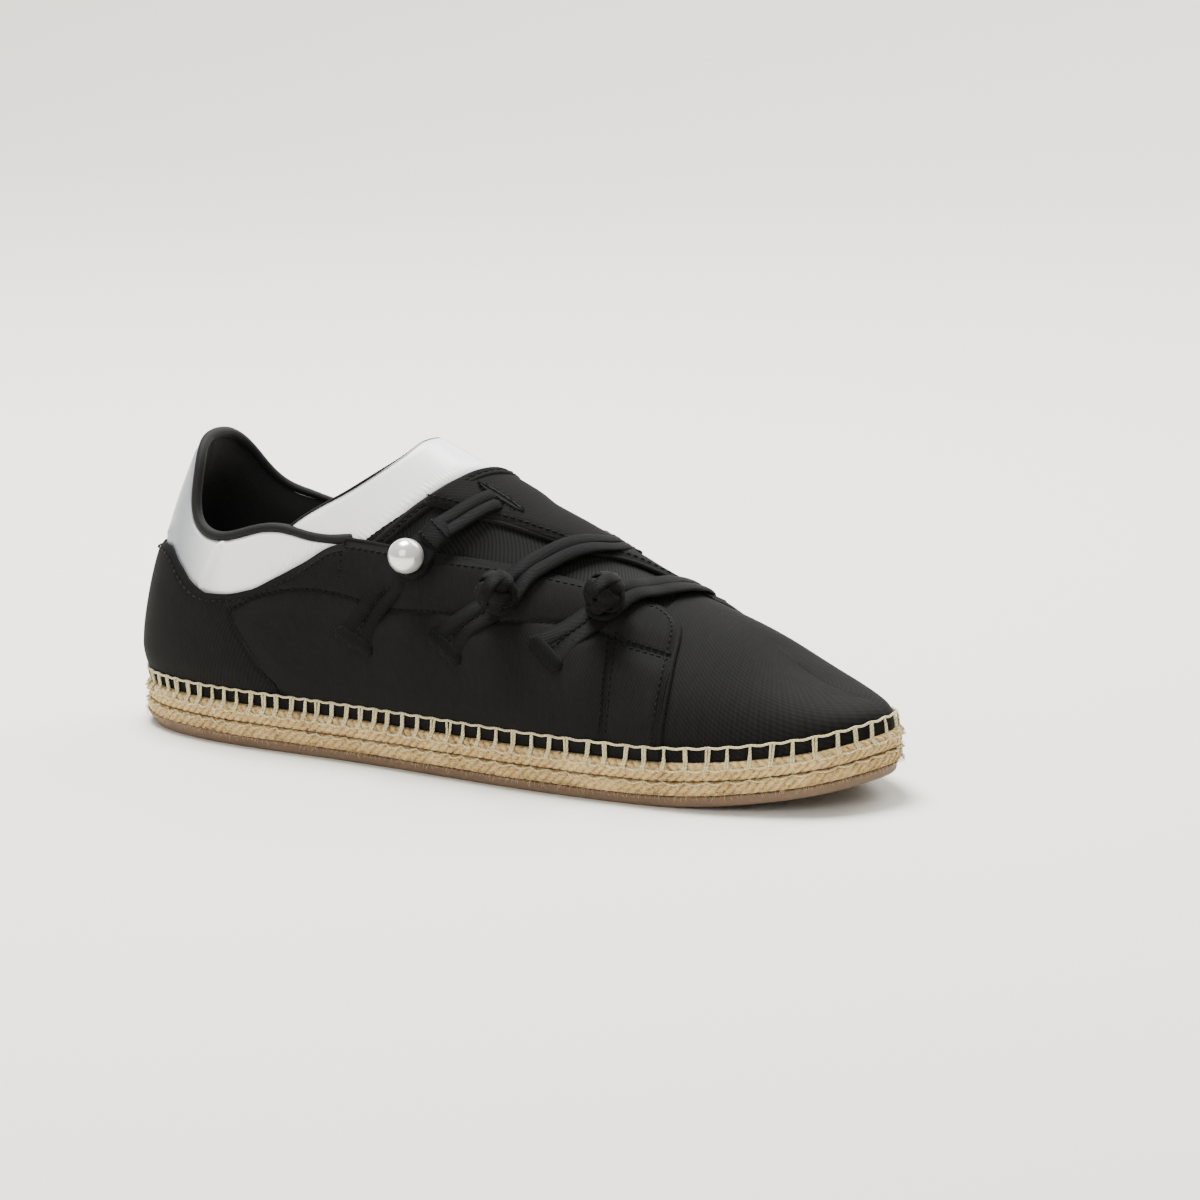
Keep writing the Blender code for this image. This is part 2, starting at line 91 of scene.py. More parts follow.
# Station, along, lateral half, medial half
OUTLINE = (
    (0.05, 0.011, 0.235, 0.225),
    (0.12, 0.064, 0.425, 0.400),
    (0.22, 0.166, 0.520, 0.467),
    (0.34, 0.305, 0.500, 0.413),
    (0.46, 0.444, 0.480, 0.388),
    (0.58, 0.583, 0.483, 0.457),
    (0.69, 0.707, 0.478, 0.522),
    (0.79, 0.821, 0.437, 0.505),
    (0.88, 0.911, 0.331, 0.414),
    (0.95, 0.974, 0.164, 0.249),
)
TOE_TIP_SIDE = 0.077
# Station, along, side, height, bulge, rise, crown
RIDGE = (
    (0.00, 0.220, 0.030, 1.700, 0.26, 0.12, 0.45),
    (0.12, 0.211, 0.020, 1.690, 0.18, 0.24, 0.41),
    (0.22, 0.227, 0.000, 1.590, 0.10, 0.39, 0.40),
    (0.34, 0.315, -0.012, 1.237, 0.05, 0.51, 0.43),
    (0.46, 0.444, 0.014, 1.000, 0.03, 0.50, 0.48),
    (0.58, 0.583, 0.050, 0.775, 0.03, 0.49, 0.50),
    (0.69, 0.702, 0.073, 0.578, 0.03, 0.50, 0.54),
    (0.79, 0.796, 0.103, 0.448, 0.03, 0.53, 0.59),
    (0.88, 0.837, 0.116, 0.360, 0.03, 0.59, 0.60),
    (1.00, 0.869, 0.117, 0.277, 0.01, 0.61, 0.50),
)
# Edges as station, across. The collar's and throat's edge on both sides
LATERAL_EDGE = (
    (0.00, 0.540), (0.06, 0.500), (0.115, 0.410), (0.168, 0.335), (0.217, 0.330), (0.300, 0.365),
    (0.348, 0.410), (0.460, 0.495), (0.588, 0.645), (0.693, 0.780), (0.745, 0.810), (0.850, 0.900),
    (1.000, 0.960),
)
MEDIAL_EDGE = (
    (0.000, 1.460), (0.060, 1.500), (0.120, 1.584), (0.180, 1.644), (0.240, 1.665), (0.300, 1.596),
    (0.345, 1.470), (0.385, 1.280), (0.415, 1.000), (0.440, 0.700), (0.490, 0.705), (0.565, 0.790),
    (0.610, 0.870), (0.665, 1.060), (0.710, 1.160), (0.745, 1.190), (0.850, 1.100), (1.000, 1.040),
)
# The collar's outer rim, under its padded roll
OUTER_RIM = (
    (0.000, 0.540), (0.040, 0.522), (0.080, 0.486), (0.113, 0.405), (0.137, 0.359), (0.167, 0.330),
    (0.193, 0.321), (0.219, 0.329), (0.249, 0.348), (0.278, 0.360), (0.301, 0.364), (0.331, 0.382),
    (0.358, 0.413), (0.460, 0.495),
)
# The white collar's lower edge
SATIN_FOOT = (
    (0.00, 0.345), (0.09, 0.330), (0.125, 0.290), (0.158, 0.245), (0.182, 0.225), (0.210, 0.220),
    (0.240, 0.230), (0.273, 0.265), (0.305, 0.315), (0.333, 0.375), (0.352, 0.405),
)
# The white instep band's edges, from the outer side over the instep to the inner side
BAND_RIM = (
    (0.268, 0.350), (0.315, 0.462), (0.353, 0.580), (0.3875, 0.748), (0.400, 0.889),
    (0.407, 1.020), (0.400, 1.210), (0.375, 1.350), (0.345, 1.470), (0.318, 1.555), (0.290, 1.612),
)
BAND_FOOT = (
    (0.352, 0.370), (0.378, 0.435), (0.413, 0.580), (0.443, 0.735), (0.458, 0.835), (0.470, 0.950),
    (0.480, 1.090), (0.474, 1.240), (0.445, 1.380), (0.395, 1.540), (0.335, 1.655),
)
# Seams on the outer quarter
QUILT_SEAM = (
    (0.217, 0.190), (0.302, 0.255), (0.370, 0.280), (0.415, 0.290), (0.487, 0.345), (0.532, 0.370),
    (0.605, 0.470), (0.670, 0.535),
)
HEEL_SEAM = ((0.217, 0.190), (0.228, 0.150), (0.258, 0.080), (0.280, 0.045), (0.285, 0.025))
PATCH_BACK = ((0.670, 0.535), (0.677, 0.430), (0.682, 0.300), (0.685, 0.195), (0.685, 0.090))
PATCH_TOP = ((0.670, 0.535), (0.690, 0.527), (0.712, 0.535), (0.742, 0.545))
INNER_SEAM = (
    (0.217, 1.810), (0.302, 1.745), (0.370, 1.720), (0.415, 1.710), (0.487, 1.655), (0.560, 1.600),
    (0.620, 1.530), (0.680, 1.490),
)
INNER_SLANT = (
    (0.540, 1.120), (0.565, 1.200), (0.588, 1.235), (0.623, 1.315), (0.650, 1.385), (0.667, 1.445),
    (0.682, 1.495), (0.688, 1.600), (0.690, 1.900),
)
INNER_HEEL = ((0.217, 1.810), (0.228, 1.850), (0.258, 1.920), (0.280, 1.955), (0.285, 1.975))
# Fastenings, from their sewn ends to their buttons, and the slits behind two of them
STRAPS = {
    "strap_1": ((0.5025, 0.832), (0.492, 0.760), (0.466, 0.610), (0.4380, 0.4480)),
    "strap_2": ((0.610, 1.190), (0.617, 1.020), (0.602, 0.890), (0.572, 0.670), (0.5450, 0.4630)),
    "strap_3": ((0.697, 1.345), (0.703, 1.180), (0.698, 1.010), (0.678, 0.820), (0.6520, 0.6220)),
}
TABS = {
    "tab_1": ((0.375, 0.170), (0.398, 0.290), (0.419, 0.370), (0.4380, 0.4480)),
    "tab_2": ((0.485, 0.230), (0.507, 0.330), (0.527, 0.395), (0.5450, 0.4630)),
    "tab_3": ((0.603, 0.327), (0.622, 0.430), (0.639, 0.525), (0.6520, 0.6220)),
}
SLITS = {
    "slit_1": ((0.4790, 0.831), (0.5240, 0.825)),
    "slit_2": ((0.586, 1.222), (0.630, 1.145)),
}


# The form
def natural_spline(xs, ys):
    """A natural cubic spline through the rows of ys."""
    xs, ys = np.asarray(xs, float), np.asarray(ys, float)
    count, step = len(xs), np.diff(xs)
    left = np.zeros((count, count))
    right = np.zeros((count,) + ys.shape[1:])
    left[0, 0] = left[-1, -1] = 1
    for i in range(1, count - 1):
        left[i, i - 1 : i + 2] = step[i - 1], 2 * (step[i - 1] + step[i]), step[i]
        right[i] = 6 * ((ys[i + 1] - ys[i]) / step[i] - (ys[i] - ys[i - 1]) / step[i - 1])
    bend = np.linalg.solve(left, right)

    def at(x):
        x = np.asarray(x, float)
        i = np.clip(np.searchsorted(xs, x) - 1, 0, count - 2)
        wide, t, s = step[i], x - xs[i], xs[i + 1] - x
        if ys.ndim > 1:
            wide, t, s = wide[..., None], t[..., None], s[..., None]
        curve = (bend[i] * s**3 + bend[i + 1] * t**3) / (6 * wide)
        curve = curve + (ys[i] / wide - bend[i] * wide / 6) * s
        return curve + (ys[i + 1] / wide - bend[i + 1] * wide / 6) * t

    return at


def edge_curve(table):
    """A curve through a two-column table that never passes its own points."""
    xs, ys = np.array(table).T
    slope = np.diff(ys) / np.diff(xs)
    tangent = np.zeros(len(xs))
    for i in range(1, len(xs) - 1):
        if slope[i - 1] * slope[i] > 0:
            tangent[i] = 2 * slope[i - 1] * slope[i] / (slope[i - 1] + slope[i])
    tangent[0], tangent[-1] = slope[0], slope[-1]

    def at(x):
        x = np.clip(np.asarray(x, float), xs[0], xs[-1])
        i = np.clip(np.searchsorted(xs, x) - 1, 0, len(xs) - 2)
        wide = xs[i + 1] - xs[i]
        t = (x - xs[i]) / wide
        near = (2 * t**3 - 3 * t**2 + 1) * ys[i] + (t**3 - 2 * t**2 + t) * wide * tangent[i]
        return near + (3 * t**2 - 2 * t**3) * ys[i + 1] + (t**3 - t**2) * wide * tangent[i + 1]

    return at


def ease(low, high, x):
    t = np.clip((np.asarray(x, float) - low) / (high - low), 0, 1)
    return t * t * (3 - 2 * t)


def unit(vectors):
    return vectors / np.maximum(np.linalg.norm(vectors, axis=-1, keepdims=True), 1e-12)


def toe_rise(x):
    return TOE_SPRING * np.clip((np.asarray(x) / LENGTH - 0.72) / 0.28, 0, None) ** 2


def make_outline():
    rows = np.array(OUTLINE)
    width = HEEL_WIDTH + (BALL_WIDTH - HEEL_WIDTH) * ease(0.2, 0.62, rows[:, 0])
    lateral = np.c_[rows[:, 1] * LENGTH, -rows[:, 2] * width]
    medial = np.c_[rows[:, 1] * LENGTH, rows[:, 3] * width]
    turn = np.r_[0, rows[:, 0], 1, 2 - rows[::-1, 0]]
    tip = [[LENGTH, TOE_TIP_SIDE * BALL_WIDTH]]
    points = np.r_[[[0, 0]], lateral, tip, medial[::-1]]
    return natural_spline(np.r_[turn - 2, turn, turn + 2], np.r_[points, points, points])


outline = make_outline()
ridge = natural_spline([row[0] for row in RIDGE], [row[1:] for row in RIDGE])
lateral_edge = edge_curve(LATERAL_EDGE)
medial_edge = edge_curve(MEDIAL_EDGE)
satin_foot = edge_curve(SATIN_FOOT)
outer_rim = edge_curve(OUTER_RIM)


def make_ridge_fall():
    station = np.linspace(0, 1, 101)
    row = ridge(station)
    x = row[:, 0] * LENGTH
    z = toe_rise(x) + row[:, 2] * INSTEP_HEIGHT
    slope = np.gradient(z) / np.maximum(np.gradient(x), 0.0004)
    return natural_spline(station, np.clip(slope, -0.8, 0) * ease(0.5, 0.7, station))


ridge_fall = make_ridge_fall()


def skin(station, across):
    """The form's outer surface, before it is moved to the part's origin."""
    station, across = np.broadcast_arrays(np.asarray(station, float), np.asarray(across, float))
    up = np.where(across <= 1, across, 2 - across)
    foot = outline(np.where(across <= 1, station, 2 - station))
    row = ridge(station)
    top = np.stack([row[..., 0] * LENGTH, row[..., 1] * BALL_WIDTH], -1)
    height, bulge, rise, crown = row[..., 2] * INSTEP_HEIGHT, row[..., 3], row[..., 4], row[..., 5]
    down = 1 - up
    inward = -3 * down**2 * up * bulge + 3 * down * up**2 * (1 - crown) + up**3
    upward = 3 * down**2 * up * rise + 3 * down * up**2 + up**3
    run = top - foot
    low, high = toe_rise(foot[..., 0]), toe_rise(top[..., 0])
    z = SOLE_HEIGHT + low + (high - low) * ease(0, 1, up) + height * upward
    z = z - 3 * down * up**2 * ridge_fall(station) * crown * run[..., 0]
    return np.concatenate([foot + run * inward[..., None], z[..., None]], -1)


def skin_normal(station, across):
    step = 2 * SAMPLE_STEP
    station, across = np.broadcast_arrays(np.asarray(station, float), np.asarray(across, float))
    along = np.clip(station, 0, 0.985)
    a = skin(np.clip(along + step, 0, 1), across) - skin(np.clip(along - step, 0, 1), across)
    b = skin(along, np.clip(across + step, 0, 2)) - skin(along, np.clip(across - step, 0, 2))
    return unit(np.cross(a, b))


def plan_ring(turn, outset):
    """The feather outline moved outwards in plan. A turn is 0 to 2 round the shoe."""
    ahead, behind = np.mod(turn + SAMPLE_STEP, 2), np.mod(turn - SAMPLE_STEP, 2)
    tangent = unit(outline(ahead) - outline(behind))
    away = np.stack([tangent[..., 1], -tangent[..., 0]], -1)
    return outline(np.mod(turn, 2)) + away * np.asarray(outset)[..., None]


_ring = plan_ring(np.linspace(0, 2, 400, endpoint=False), np.array(ROPE_BULGE))
MIDDLE = (_ring.min(0) + _ring.max(0)) / 2
_turns = np.linspace(0, 2, 2401)
_steps = np.linalg.norm(np.diff(outline(np.mod(_turns, 2)), axis=0), axis=1)
_walk = np.r_[0, np.cumsum(_steps)]
GIRTH = _walk[-1]


def turn_at(distance):
    """The turn at a distance along the feather outline from the heel."""
    return np.interp(np.mod(distance, GIRTH), _walk, _turns)


def round_sole(distance, outset, height):
    """Points round the sole's side at distances, outsets and heights above the floor."""
    distance, outset, height = np.broadcast_arrays(distance, outset, height)
    plan = plan_ring(turn_at(distance), outset)
    return np.concatenate([plan, (height + toe_rise(plan[..., 0]))[..., None]], -1)


def placed(points):
    return np.asarray(points) - np.array([MIDDLE[0], MIDDLE[1], 0.0])


def shifted(places, move):
    """Places on the form moved by small vectors along its surface."""
    places = np.array(places, float)
    goal = skin(places[:, 0], places[:, 1]) + move
    step = SAMPLE_STEP
    for _ in range(3):
        u, c = places.T
        here = skin(u, c)
        a = (skin(np.clip(u + step, 0, 1), c) - skin(np.clip(u - step, 0, 1), c)) / (2 * step)
        b = (skin(u, c + step) - skin(u, c - step)) / (2 * step)
        miss = goal - here
        aa, ab, bb = (a * a).sum(1), (a * b).sum(1), (b * b).sum(1)
        am, bm = (a * miss).sum(1), (b * miss).sum(1)
        split = np.maximum(aa * bb - ab * ab, 1e-12)
        places[:, 0] += (bb * am - ab * bm) / split
        places[:, 1] += (aa * bm - ab * am) / split
        places[:, 0] = np.clip(places[:, 0], 0.001, 0.999)
    return places


class Line:
    """Evenly spaced places along a smooth path on the form, with their frames."""

    def __init__(self, table, spacing=0.0006, count=None):
        table = np.array(table)
        turn = np.linspace(0, 1, len(table))
        fine = natural_spline(turn, table)(np.linspace(0, 1, 400))
        legs = np.linalg.norm(np.diff(skin(fine[:, 0], fine[:, 1]), axis=0), axis=1)
        run = np.r_[0, np.cumsum(legs)]
        count = count or max(8, int(run[-1] / spacing))
        self.at = np.linspace(0, run[-1], count)
        self.places = read_off(self.at, run, fine)
        self.frame()

    def frame(self):
        u, c = self.places.T
        self.points = skin(u, c)
        self.normals = skin_normal(u, c)
        self.ahead = unit(np.gradient(self.points, axis=0))
        self.side = unit(np.cross(self.normals, self.ahead))

    def beside(self, aside):
        """The same line moved sideways by a length."""
        other = Line.__new__(Line)
        other.at = self.at
        other.places = shifted(self.places, self.side * aside)
        other.frame()
        return other

    def over(self, cut, aside):
        """Points and normals at lengths along the line and lengths to its side."""
        cut, aside = np.broadcast_arrays(np.asarray(cut, float), np.asarray(aside, float))
        flat, off = cut.ravel(), aside.ravel()
        past = np.clip(flat - self.at[-1], 0, None) - np.clip(-flat, 0, None)
        side, ahead = (unit(read_off(flat, self.at, rows)) for rows in (self.side, self.ahead))
        move = side * off[:, None] + ahead * past[:, None]
        places = shifted(read_off(flat, self.at, self.places), move)
        shape = cut.shape + (3,)
        return skin(*places.T).reshape(shape), skin_normal(*places.T).reshape(shape)


def nearest(points, *lines):
    """Each point's distance from the nearest of some rows of points."""
    best = np.full(len(points), 1.0)
    for line in lines:
        for first in range(0, len(points), 3000):
            part = slice(first, first + 3000)
            away = points[part, None] - line[None]
            best[part] = np.minimum(best[part], np.sqrt((away**2).sum(-1)).min(1))
    return best


def read_off(cut, at, rows):
    """Rows of vectors known at some lengths, read off at others."""
    return np.stack([np.interp(cut, at, rows[:, k]) for k in range(rows.shape[1])], -1)


def drift(points, size, seed):
    """A smooth wandering value from -1 to 1, of about the size given."""
    maker = np.random.default_rng(seed)
    total = 0
    for _ in range(5):
        way = unit(maker.normal(size=3)) * 2 * math.pi / (size * maker.uniform(0.7, 1.5))
        total = total + np.sin(points @ way + maker.uniform(0, 6.3))
    return total / 3.2


# Finishes
class Value:
    """A node's output. Python's operators on it add Math nodes."""

    def __init__(self, finish, socket):
        self.finish, self.socket = finish, socket

    def math(self, operation, *others):
        return self.finish.math(operation, self, *others)

    def __add__(self, other):
        return self.math("ADD", other)

    def __sub__(self, other):
        return self.math("SUBTRACT", other)

    def __rsub__(self, other):
        return self.finish.math("SUBTRACT", other, self)

    def __mul__(self, other):
        return self.math("MULTIPLY", other)

    def __truediv__(self, other):
        return self.math("DIVIDE", other)

    def __pow__(self, other):
        return self.math("POWER", other)

    __radd__ = __add__
    __rmul__ = __mul__


class Finish:
    """A material whose nodes are added one by one."""

    def __init__(self, name, slot, **fixed):
        self.material = bpy.data.materials.new(name)
        self.material.use_nodes = True
        self.slot = slot
        self.tree = self.material.node_tree
        self.shader = self.tree.nodes["Principled BSDF"]
        for key, value in fixed.items():
            socket = key.replace("_", " ").title().replace("Ior", "IOR")
            self.shader.inputs[socket].default_value = value

    def node(self, kind, settings, sockets, out=0):
        made = self.tree.nodes.new("ShaderNode" + kind)
        for key, value in settings.items():
            if key == "stops":
                ramp = made.color_ramp
                while len(ramp.elements) < len(value):
                    ramp.elements.new(0.5)
                for element, (place, shade) in zip(ramp.elements, value):
                    element.position = place
                    element.color = shade
            else:
                setattr(made, key, value)
        for key, value in sockets.items():
            self.feed(made.inputs[key], value)
        return Value(self, made.outputs[out])

    def feed(self, socket, value):
        if isinstance(value, Value):
            self.tree.links.new(value.socket, socket)
        else:
            socket.default_value = value

    def math(self, operation, *values):
        return self.node("Math", {"operation": operation}, dict(enumerate(values)))

    def wave(self, value, pitch):
        """A sine of a length, from 0 to 1 over each pitch."""
        turn = value * (2 * math.pi / pitch)
        return turn.math("SINE") * 0.5 + 0.5

    def lay(self):
        """Lengths along and across the piece, in metres."""
        spot = self.node("UVMap", {"uv_map": "lay"}, {})
        parts = self.node("SeparateXYZ", {}, {0: spot})
        return parts, Value(self, parts.socket.node.outputs[1])

    def grain(self, scale, detail=3.0):
        """Noise over the object."""
        spot = self.node("TexCoord", {}, {}, 3)
        return self.noise(spot, scale, detail, 0.55)

    def fibres(self, along, across, detail=3.0, rough=0.6):
        """Noise stretched along the piece, by its scales along and across."""
        spot = self.node("UVMap", {"uv_map": "lay"}, {})
        spot = self.node("Mapping", {}, {0: spot, "Scale": (along, across, 1.0)})
        return self.noise(spot, 1.0, detail, rough)

    def noise(self, spot, scale, detail, rough):
        sockets = {"Vector": spot, "Scale": scale, "Detail": detail, "Roughness": rough}
        return self.node("TexNoise", {}, sockets)

    def shade(self, factor, low, high):
        """A colour between two, by a factor from 0 to 1."""
        mix = {"data_type": "RGBA"}
        return self.node("Mix", mix, {0: factor, 6: rgba(low), 7: rgba(high)}, 2)

    def done(self, colour, roughness, height=None, depth=0.0002):
        self.feed(self.shader.inputs["Base Color"], colour)
        self.feed(self.shader.inputs["Roughness"], roughness)
        if height is not None:
            sockets = {"Height": height, "Distance": depth, "Strength": 1.0}
            self.feed(self.shader.inputs["Normal"], self.node("Bump", {}, sockets))
        return self


def rgba(value):
    return value if isinstance(value, Value) or len(value) == 4 else (*value, 1.0)


def black_twill():
    """Quarters, heel cover and vamp."""
    gloss = {"sheen_weight": 0.01, "sheen_roughness": 0.45, "specular_ior_level": 0.05}
    f = Finish("black twill", "cloth", **gloss)
    x, y = f.lay()
    warp = f.wave(x, 0.00085)
    twill = f.wave(x + y * 0.7, 0.0013)
    slub = f.fibres(900.0, 120.0)
    worn = f.grain(38.0, 4.0)
    tone = warp * 0.25 + twill * 0.35 + slub * 0.55
    tone = tone * (worn * 0.5 + 0.72)
    colour = f.shade(tone, (0.0036, 0.0036, 0.0036), (0.0122, 0.0119, 0.0114))
    relief = twill * 0.4 + warp * 0.25 + slub * 0.9
    return f.done(colour, worn * 0.16 + 0.68, relief, 0.00007)


def black_satin():
    """Straps, tabs, knots and piping."""
    gloss = {"sheen_weight": 0.01, "sheen_roughness": 0.4, "specular_ior_level": 0.06}
    f = Finish("black satin tube", "braid", **gloss)
    x, y = f.lay()
    twill = f.wave(x + y, 0.0008)
    rub = f.grain(60.0, 4.0)
    tone = twill * 0.4 + rub * 0.5
    colour = f.shade(tone, (0.0018, 0.0018, 0.0019), (0.0072, 0.0070, 0.0068))
    return f.done(colour, rub * 0.20 + 0.46, twill + rub, 0.00010)


def ribbed_cloth():
    """Tongue."""
    f = Finish("ribbed tongue cloth", "ribbed_cloth", sheen_weight=0.01, specular_ior_level=0.05)
    x, y = f.lay()
    rib = f.wave(x * 0.8 + y * 0.6, 0.0010)
    slub = f.fibres(500.0, 1500.0)
    tone = rib * 0.75 + slub * 0.25
    colour = f.shade(tone, (0.0040, 0.0040, 0.0040), (0.0125, 0.0122, 0.0119))
    return f.done(colour, 0.66 - rib * 0.06, rib + slub * 0.5, 0.00007)


def white_satin():
    """Collar and instep band. The satin turns grey towards the heel's back by its place: painted
    shade.
    """
    gloss = {"sheen_weight": 0.30, "sheen_roughness": 0.3, "specular_ior_level": 0.75}
    f = Finish("white satin", "satin", **gloss)
    x, y = f.lay()
    fine = f.wave(x + y * 1.6, 0.0009)
    soft = f.grain(26.0, 3.0)
    place = f.node("SeparateXYZ", {}, {0: f.node("TexCoord", {}, {}, 3)})
    # Painted shade: from x -0.098 to -0.126 the white gives way to a grey towards the heel's back
    reach = {0: place, 1: -0.098, 2: -0.126, 3: 0.0, 4: 1.0}
    shade = f.node("MapRange", {"interpolation_type": "SMOOTHSTEP"}, reach)
    light = f.shade(fine * 0.25 + soft * 0.6, (0.91, 0.91, 0.915), (0.985, 0.985, 0.98))
    painted_shade_grey = f.shade(fine * 0.4 + soft * 0.5, (0.17, 0.180, 0.205), (0.34, 0.355, 0.385))
    colour = f.node("Mix", {"data_type": "RGBA"}, {0: shade, 6: light, 7: painted_shade_grey}, 2)
    return f.done(colour, soft * 0.16 + 0.22, fine + soft * 0.5, 0.00005)


def smooth_lining(name, dark, light):
    """Padded roll, binding and the inside."""
    gloss = {"sheen_weight": 0.06, "sheen_roughness": 0.4, "specular_ior_level": 0.14}
    f = Finish(name, "lining", **gloss)
    x, y = f.lay()
    knit = f.wave(x, 0.0007) * f.wave(y, 0.0007)
    rub = f.grain(45.0, 4.0)
    tone = rub * 0.7 + knit * 0.3
    colour = f.shade(tone, (dark, dark, dark), (light, light * 0.985, light * 0.96))
    return f.done(colour, rub * 0.15 + 0.58, knit + rub * 0.6, 0.00008)


def insole_cloth():
    f = Finish("insole cloth", "lining", sheen_weight=0.25)
    x, y = f.lay()
    weave = f.wave(x, 0.0011) * 0.5 + f.wave(y, 0.0011) * 0.5
    rub = f.grain(30.0, 4.0)
    colour = f.shade(rub * 0.6 + weave * 0.4, (0.006, 0.006, 0.006), (0.020, 0.019, 0.019))
    return f.done(colour, rub * 0.1 + 0.72, weave + rub * 0.5, 0.00020)


def jute(name, foot, thick, pitch, slope, chevron):
    """Rope fibre, with painted shade in the grooves where its strands meet and a little painted
    light on their crowns.
    """
    gloss = {"sheen_weight": 0.12, "sheen_roughness": 0.5, "specular_ior_level": 0.2}
    f = Finish(name, "rope", **gloss)
    x, y = f.lay()
    v = (y - foot) / thick
    lean = (v - BRAID_MIDDLE).math("ABSOLUTE") * slope if chevron else v * slope
    phase = x / pitch + lean + (x * 90.0).math("SINE") * 0.12
    strand = (phase * math.pi).math("SINE").math("ABSOLUTE")
    groove = (1.0 - strand) ** 2.0
    fibre = f.fibres(700.0, 1900.0, 5.0, 0.65)
    patch = f.grain(90.0, 4.0)
    dust = f.grain(900.0, 3.0)
    # groove darkens the colour as painted shade between the strands, and strand lightens it a
    # little as painted light on their crowns
    tone = fibre * 0.58 + patch * 0.42 + dust * 0.32 - 0.09 - groove * 0.075 + strand * 0.03
    stops = (
        (0.36, (0.15, 0.083, 0.033, 1)),
        (0.48, (0.42, 0.258, 0.103, 1)),
        (0.58, (0.62, 0.425, 0.172, 1)),
        (0.74, (0.82, 0.620, 0.295, 1)),
    )
    colour = f.node("ValToRGB", {"stops": stops}, {0: tone})
    return f.done(colour, fibre * 0.1 + 0.82, fibre + dust * 0.5 + strand * 0.8, 0.0008)


def cream_yarn():
    gloss = {"sheen_weight": 0.3, "sheen_roughness": 0.4, "specular_ior_level": 0.3}
    f = Finish("cream yarn", "thread", **gloss)
    x, y = f.lay()
    twist = f.wave(x + y * 1.1, 0.0013)
    fuzz = f.grain(700.0, 3.0)
    colour = f.shade(twist * 0.5 + fuzz * 0.5, (0.36, 0.29, 0.13), (0.90, 0.79, 0.47))
    return f.done(colour, 0.8 - fuzz * 0.1, twist + fuzz * 0.4, 0.0003)


def black_thread():
    f = Finish("black thread", "braid", specular_ior_level=0.08, sheen_weight=0.02)
    x, y = f.lay()
    twist = f.wave(x + y, 0.0006)
    colour = f.shade(twist, (0.0006, 0.0006, 0.0006), (0.0030, 0.0029, 0.0028))
    return f.done(colour, 0.5 - twist * 0.1, twist, 0.00008)


def brown_rubber():
    f = Finish("brown rubber", "rubber", specular_ior_level=0.35)
    dust = f.grain(650.0, 4.0)
    scuff = f.grain(55.0, 5.0)
    stripe = f.fibres(60.0, 1400.0)
    tone = dust * 0.35 + scuff * 0.45 + stripe * 0.2
    colour = f.shade(tone, (0.088, 0.054, 0.032), (0.225, 0.152, 0.098))
    return f.done(colour, scuff * 0.2 + 0.62, dust + scuff * 0.5, 0.00018)


def pearl_coat():
    coat = {"coat_weight": 1.0, "coat_roughness": 0.08}
    f = Finish("pearl", "pearl", metallic=0.55, specular_ior_level=0.5, **coat)
    cloud = f.grain(150.0, 3.0)
    rim = f.node("LayerWeight", {}, {"Blend": 0.35}, 1)
    body = f.shade(cloud, (0.70, 0.69, 0.67), (0.82, 0.81, 0.79))
    return f.done(body, rim * 0.12 + 0.20, cloud, 0.00002)


TWILL = black_twill()
SATIN_TUBE = black_satin()
RIBBED = ribbed_cloth()
WHITE = white_satin()
LINING = smooth_lining("smooth black lining", 0.0040, 0.0110)
# The same black lining, about three times lighter for the sheets inside the shoe: painted light
# that lifts the shade in there
LIGHTENED_LINING = smooth_lining("inner lining", 0.012, 0.028)
INSOLE = insole_cloth()
upper_strands = (UPPER_ROPE_FOOT, UPPER_ROPE_THICK, UPPER_STRAND, UPPER_SLANT)
lower_strands = (LOWER_ROPE_FOOT, LOWER_ROPE_THICK, LOWER_STRAND, LOWER_SLANT)
UPPER_JUTE = jute("braided jute", *upper_strands, True)
LOWER_JUTE = jute("twisted jute", *lower_strands, False)
YARN = cream_yarn()
THREAD = black_thread()
RUBBER = brown_rubber()
PEARL = pearl_coat()


# Making pieces
def woven(rows, columns):
    """A flat grid, with each vertex's row and column."""
    work = bmesh.new()
    bmesh.ops.create_grid(work, x_segments=rows, y_segments=columns, size=0.5)
    flat = np.array([v.co for v in work.verts])
    row = np.rint((flat[:, 0] + 0.5) * rows).astype(int)
    column = np.rint((flat[:, 1] + 0.5) * columns).astype(int)
    return work, (row, column)


def shares(rows, columns):
    """Shares from 0 to 1 along and across a grid."""
    ends = np.linspace(0, 1, rows + 1), np.linspace(0, 1, columns + 1)
    return np.meshgrid(*ends, indexing="ij")


def finished(name, mesh, finish, nodes):
    """The object of a mesh, with its finish, its body and the nodes that it stands for."""
    mesh.shade_smooth()
    mesh.materials.append(finish.material)
    made = bpy.data.objects.new(name, mesh)
    bpy.context.scene.collection.objects.link(made)
    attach(made, "root")
    for node in nodes:
        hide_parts(node)
    return made


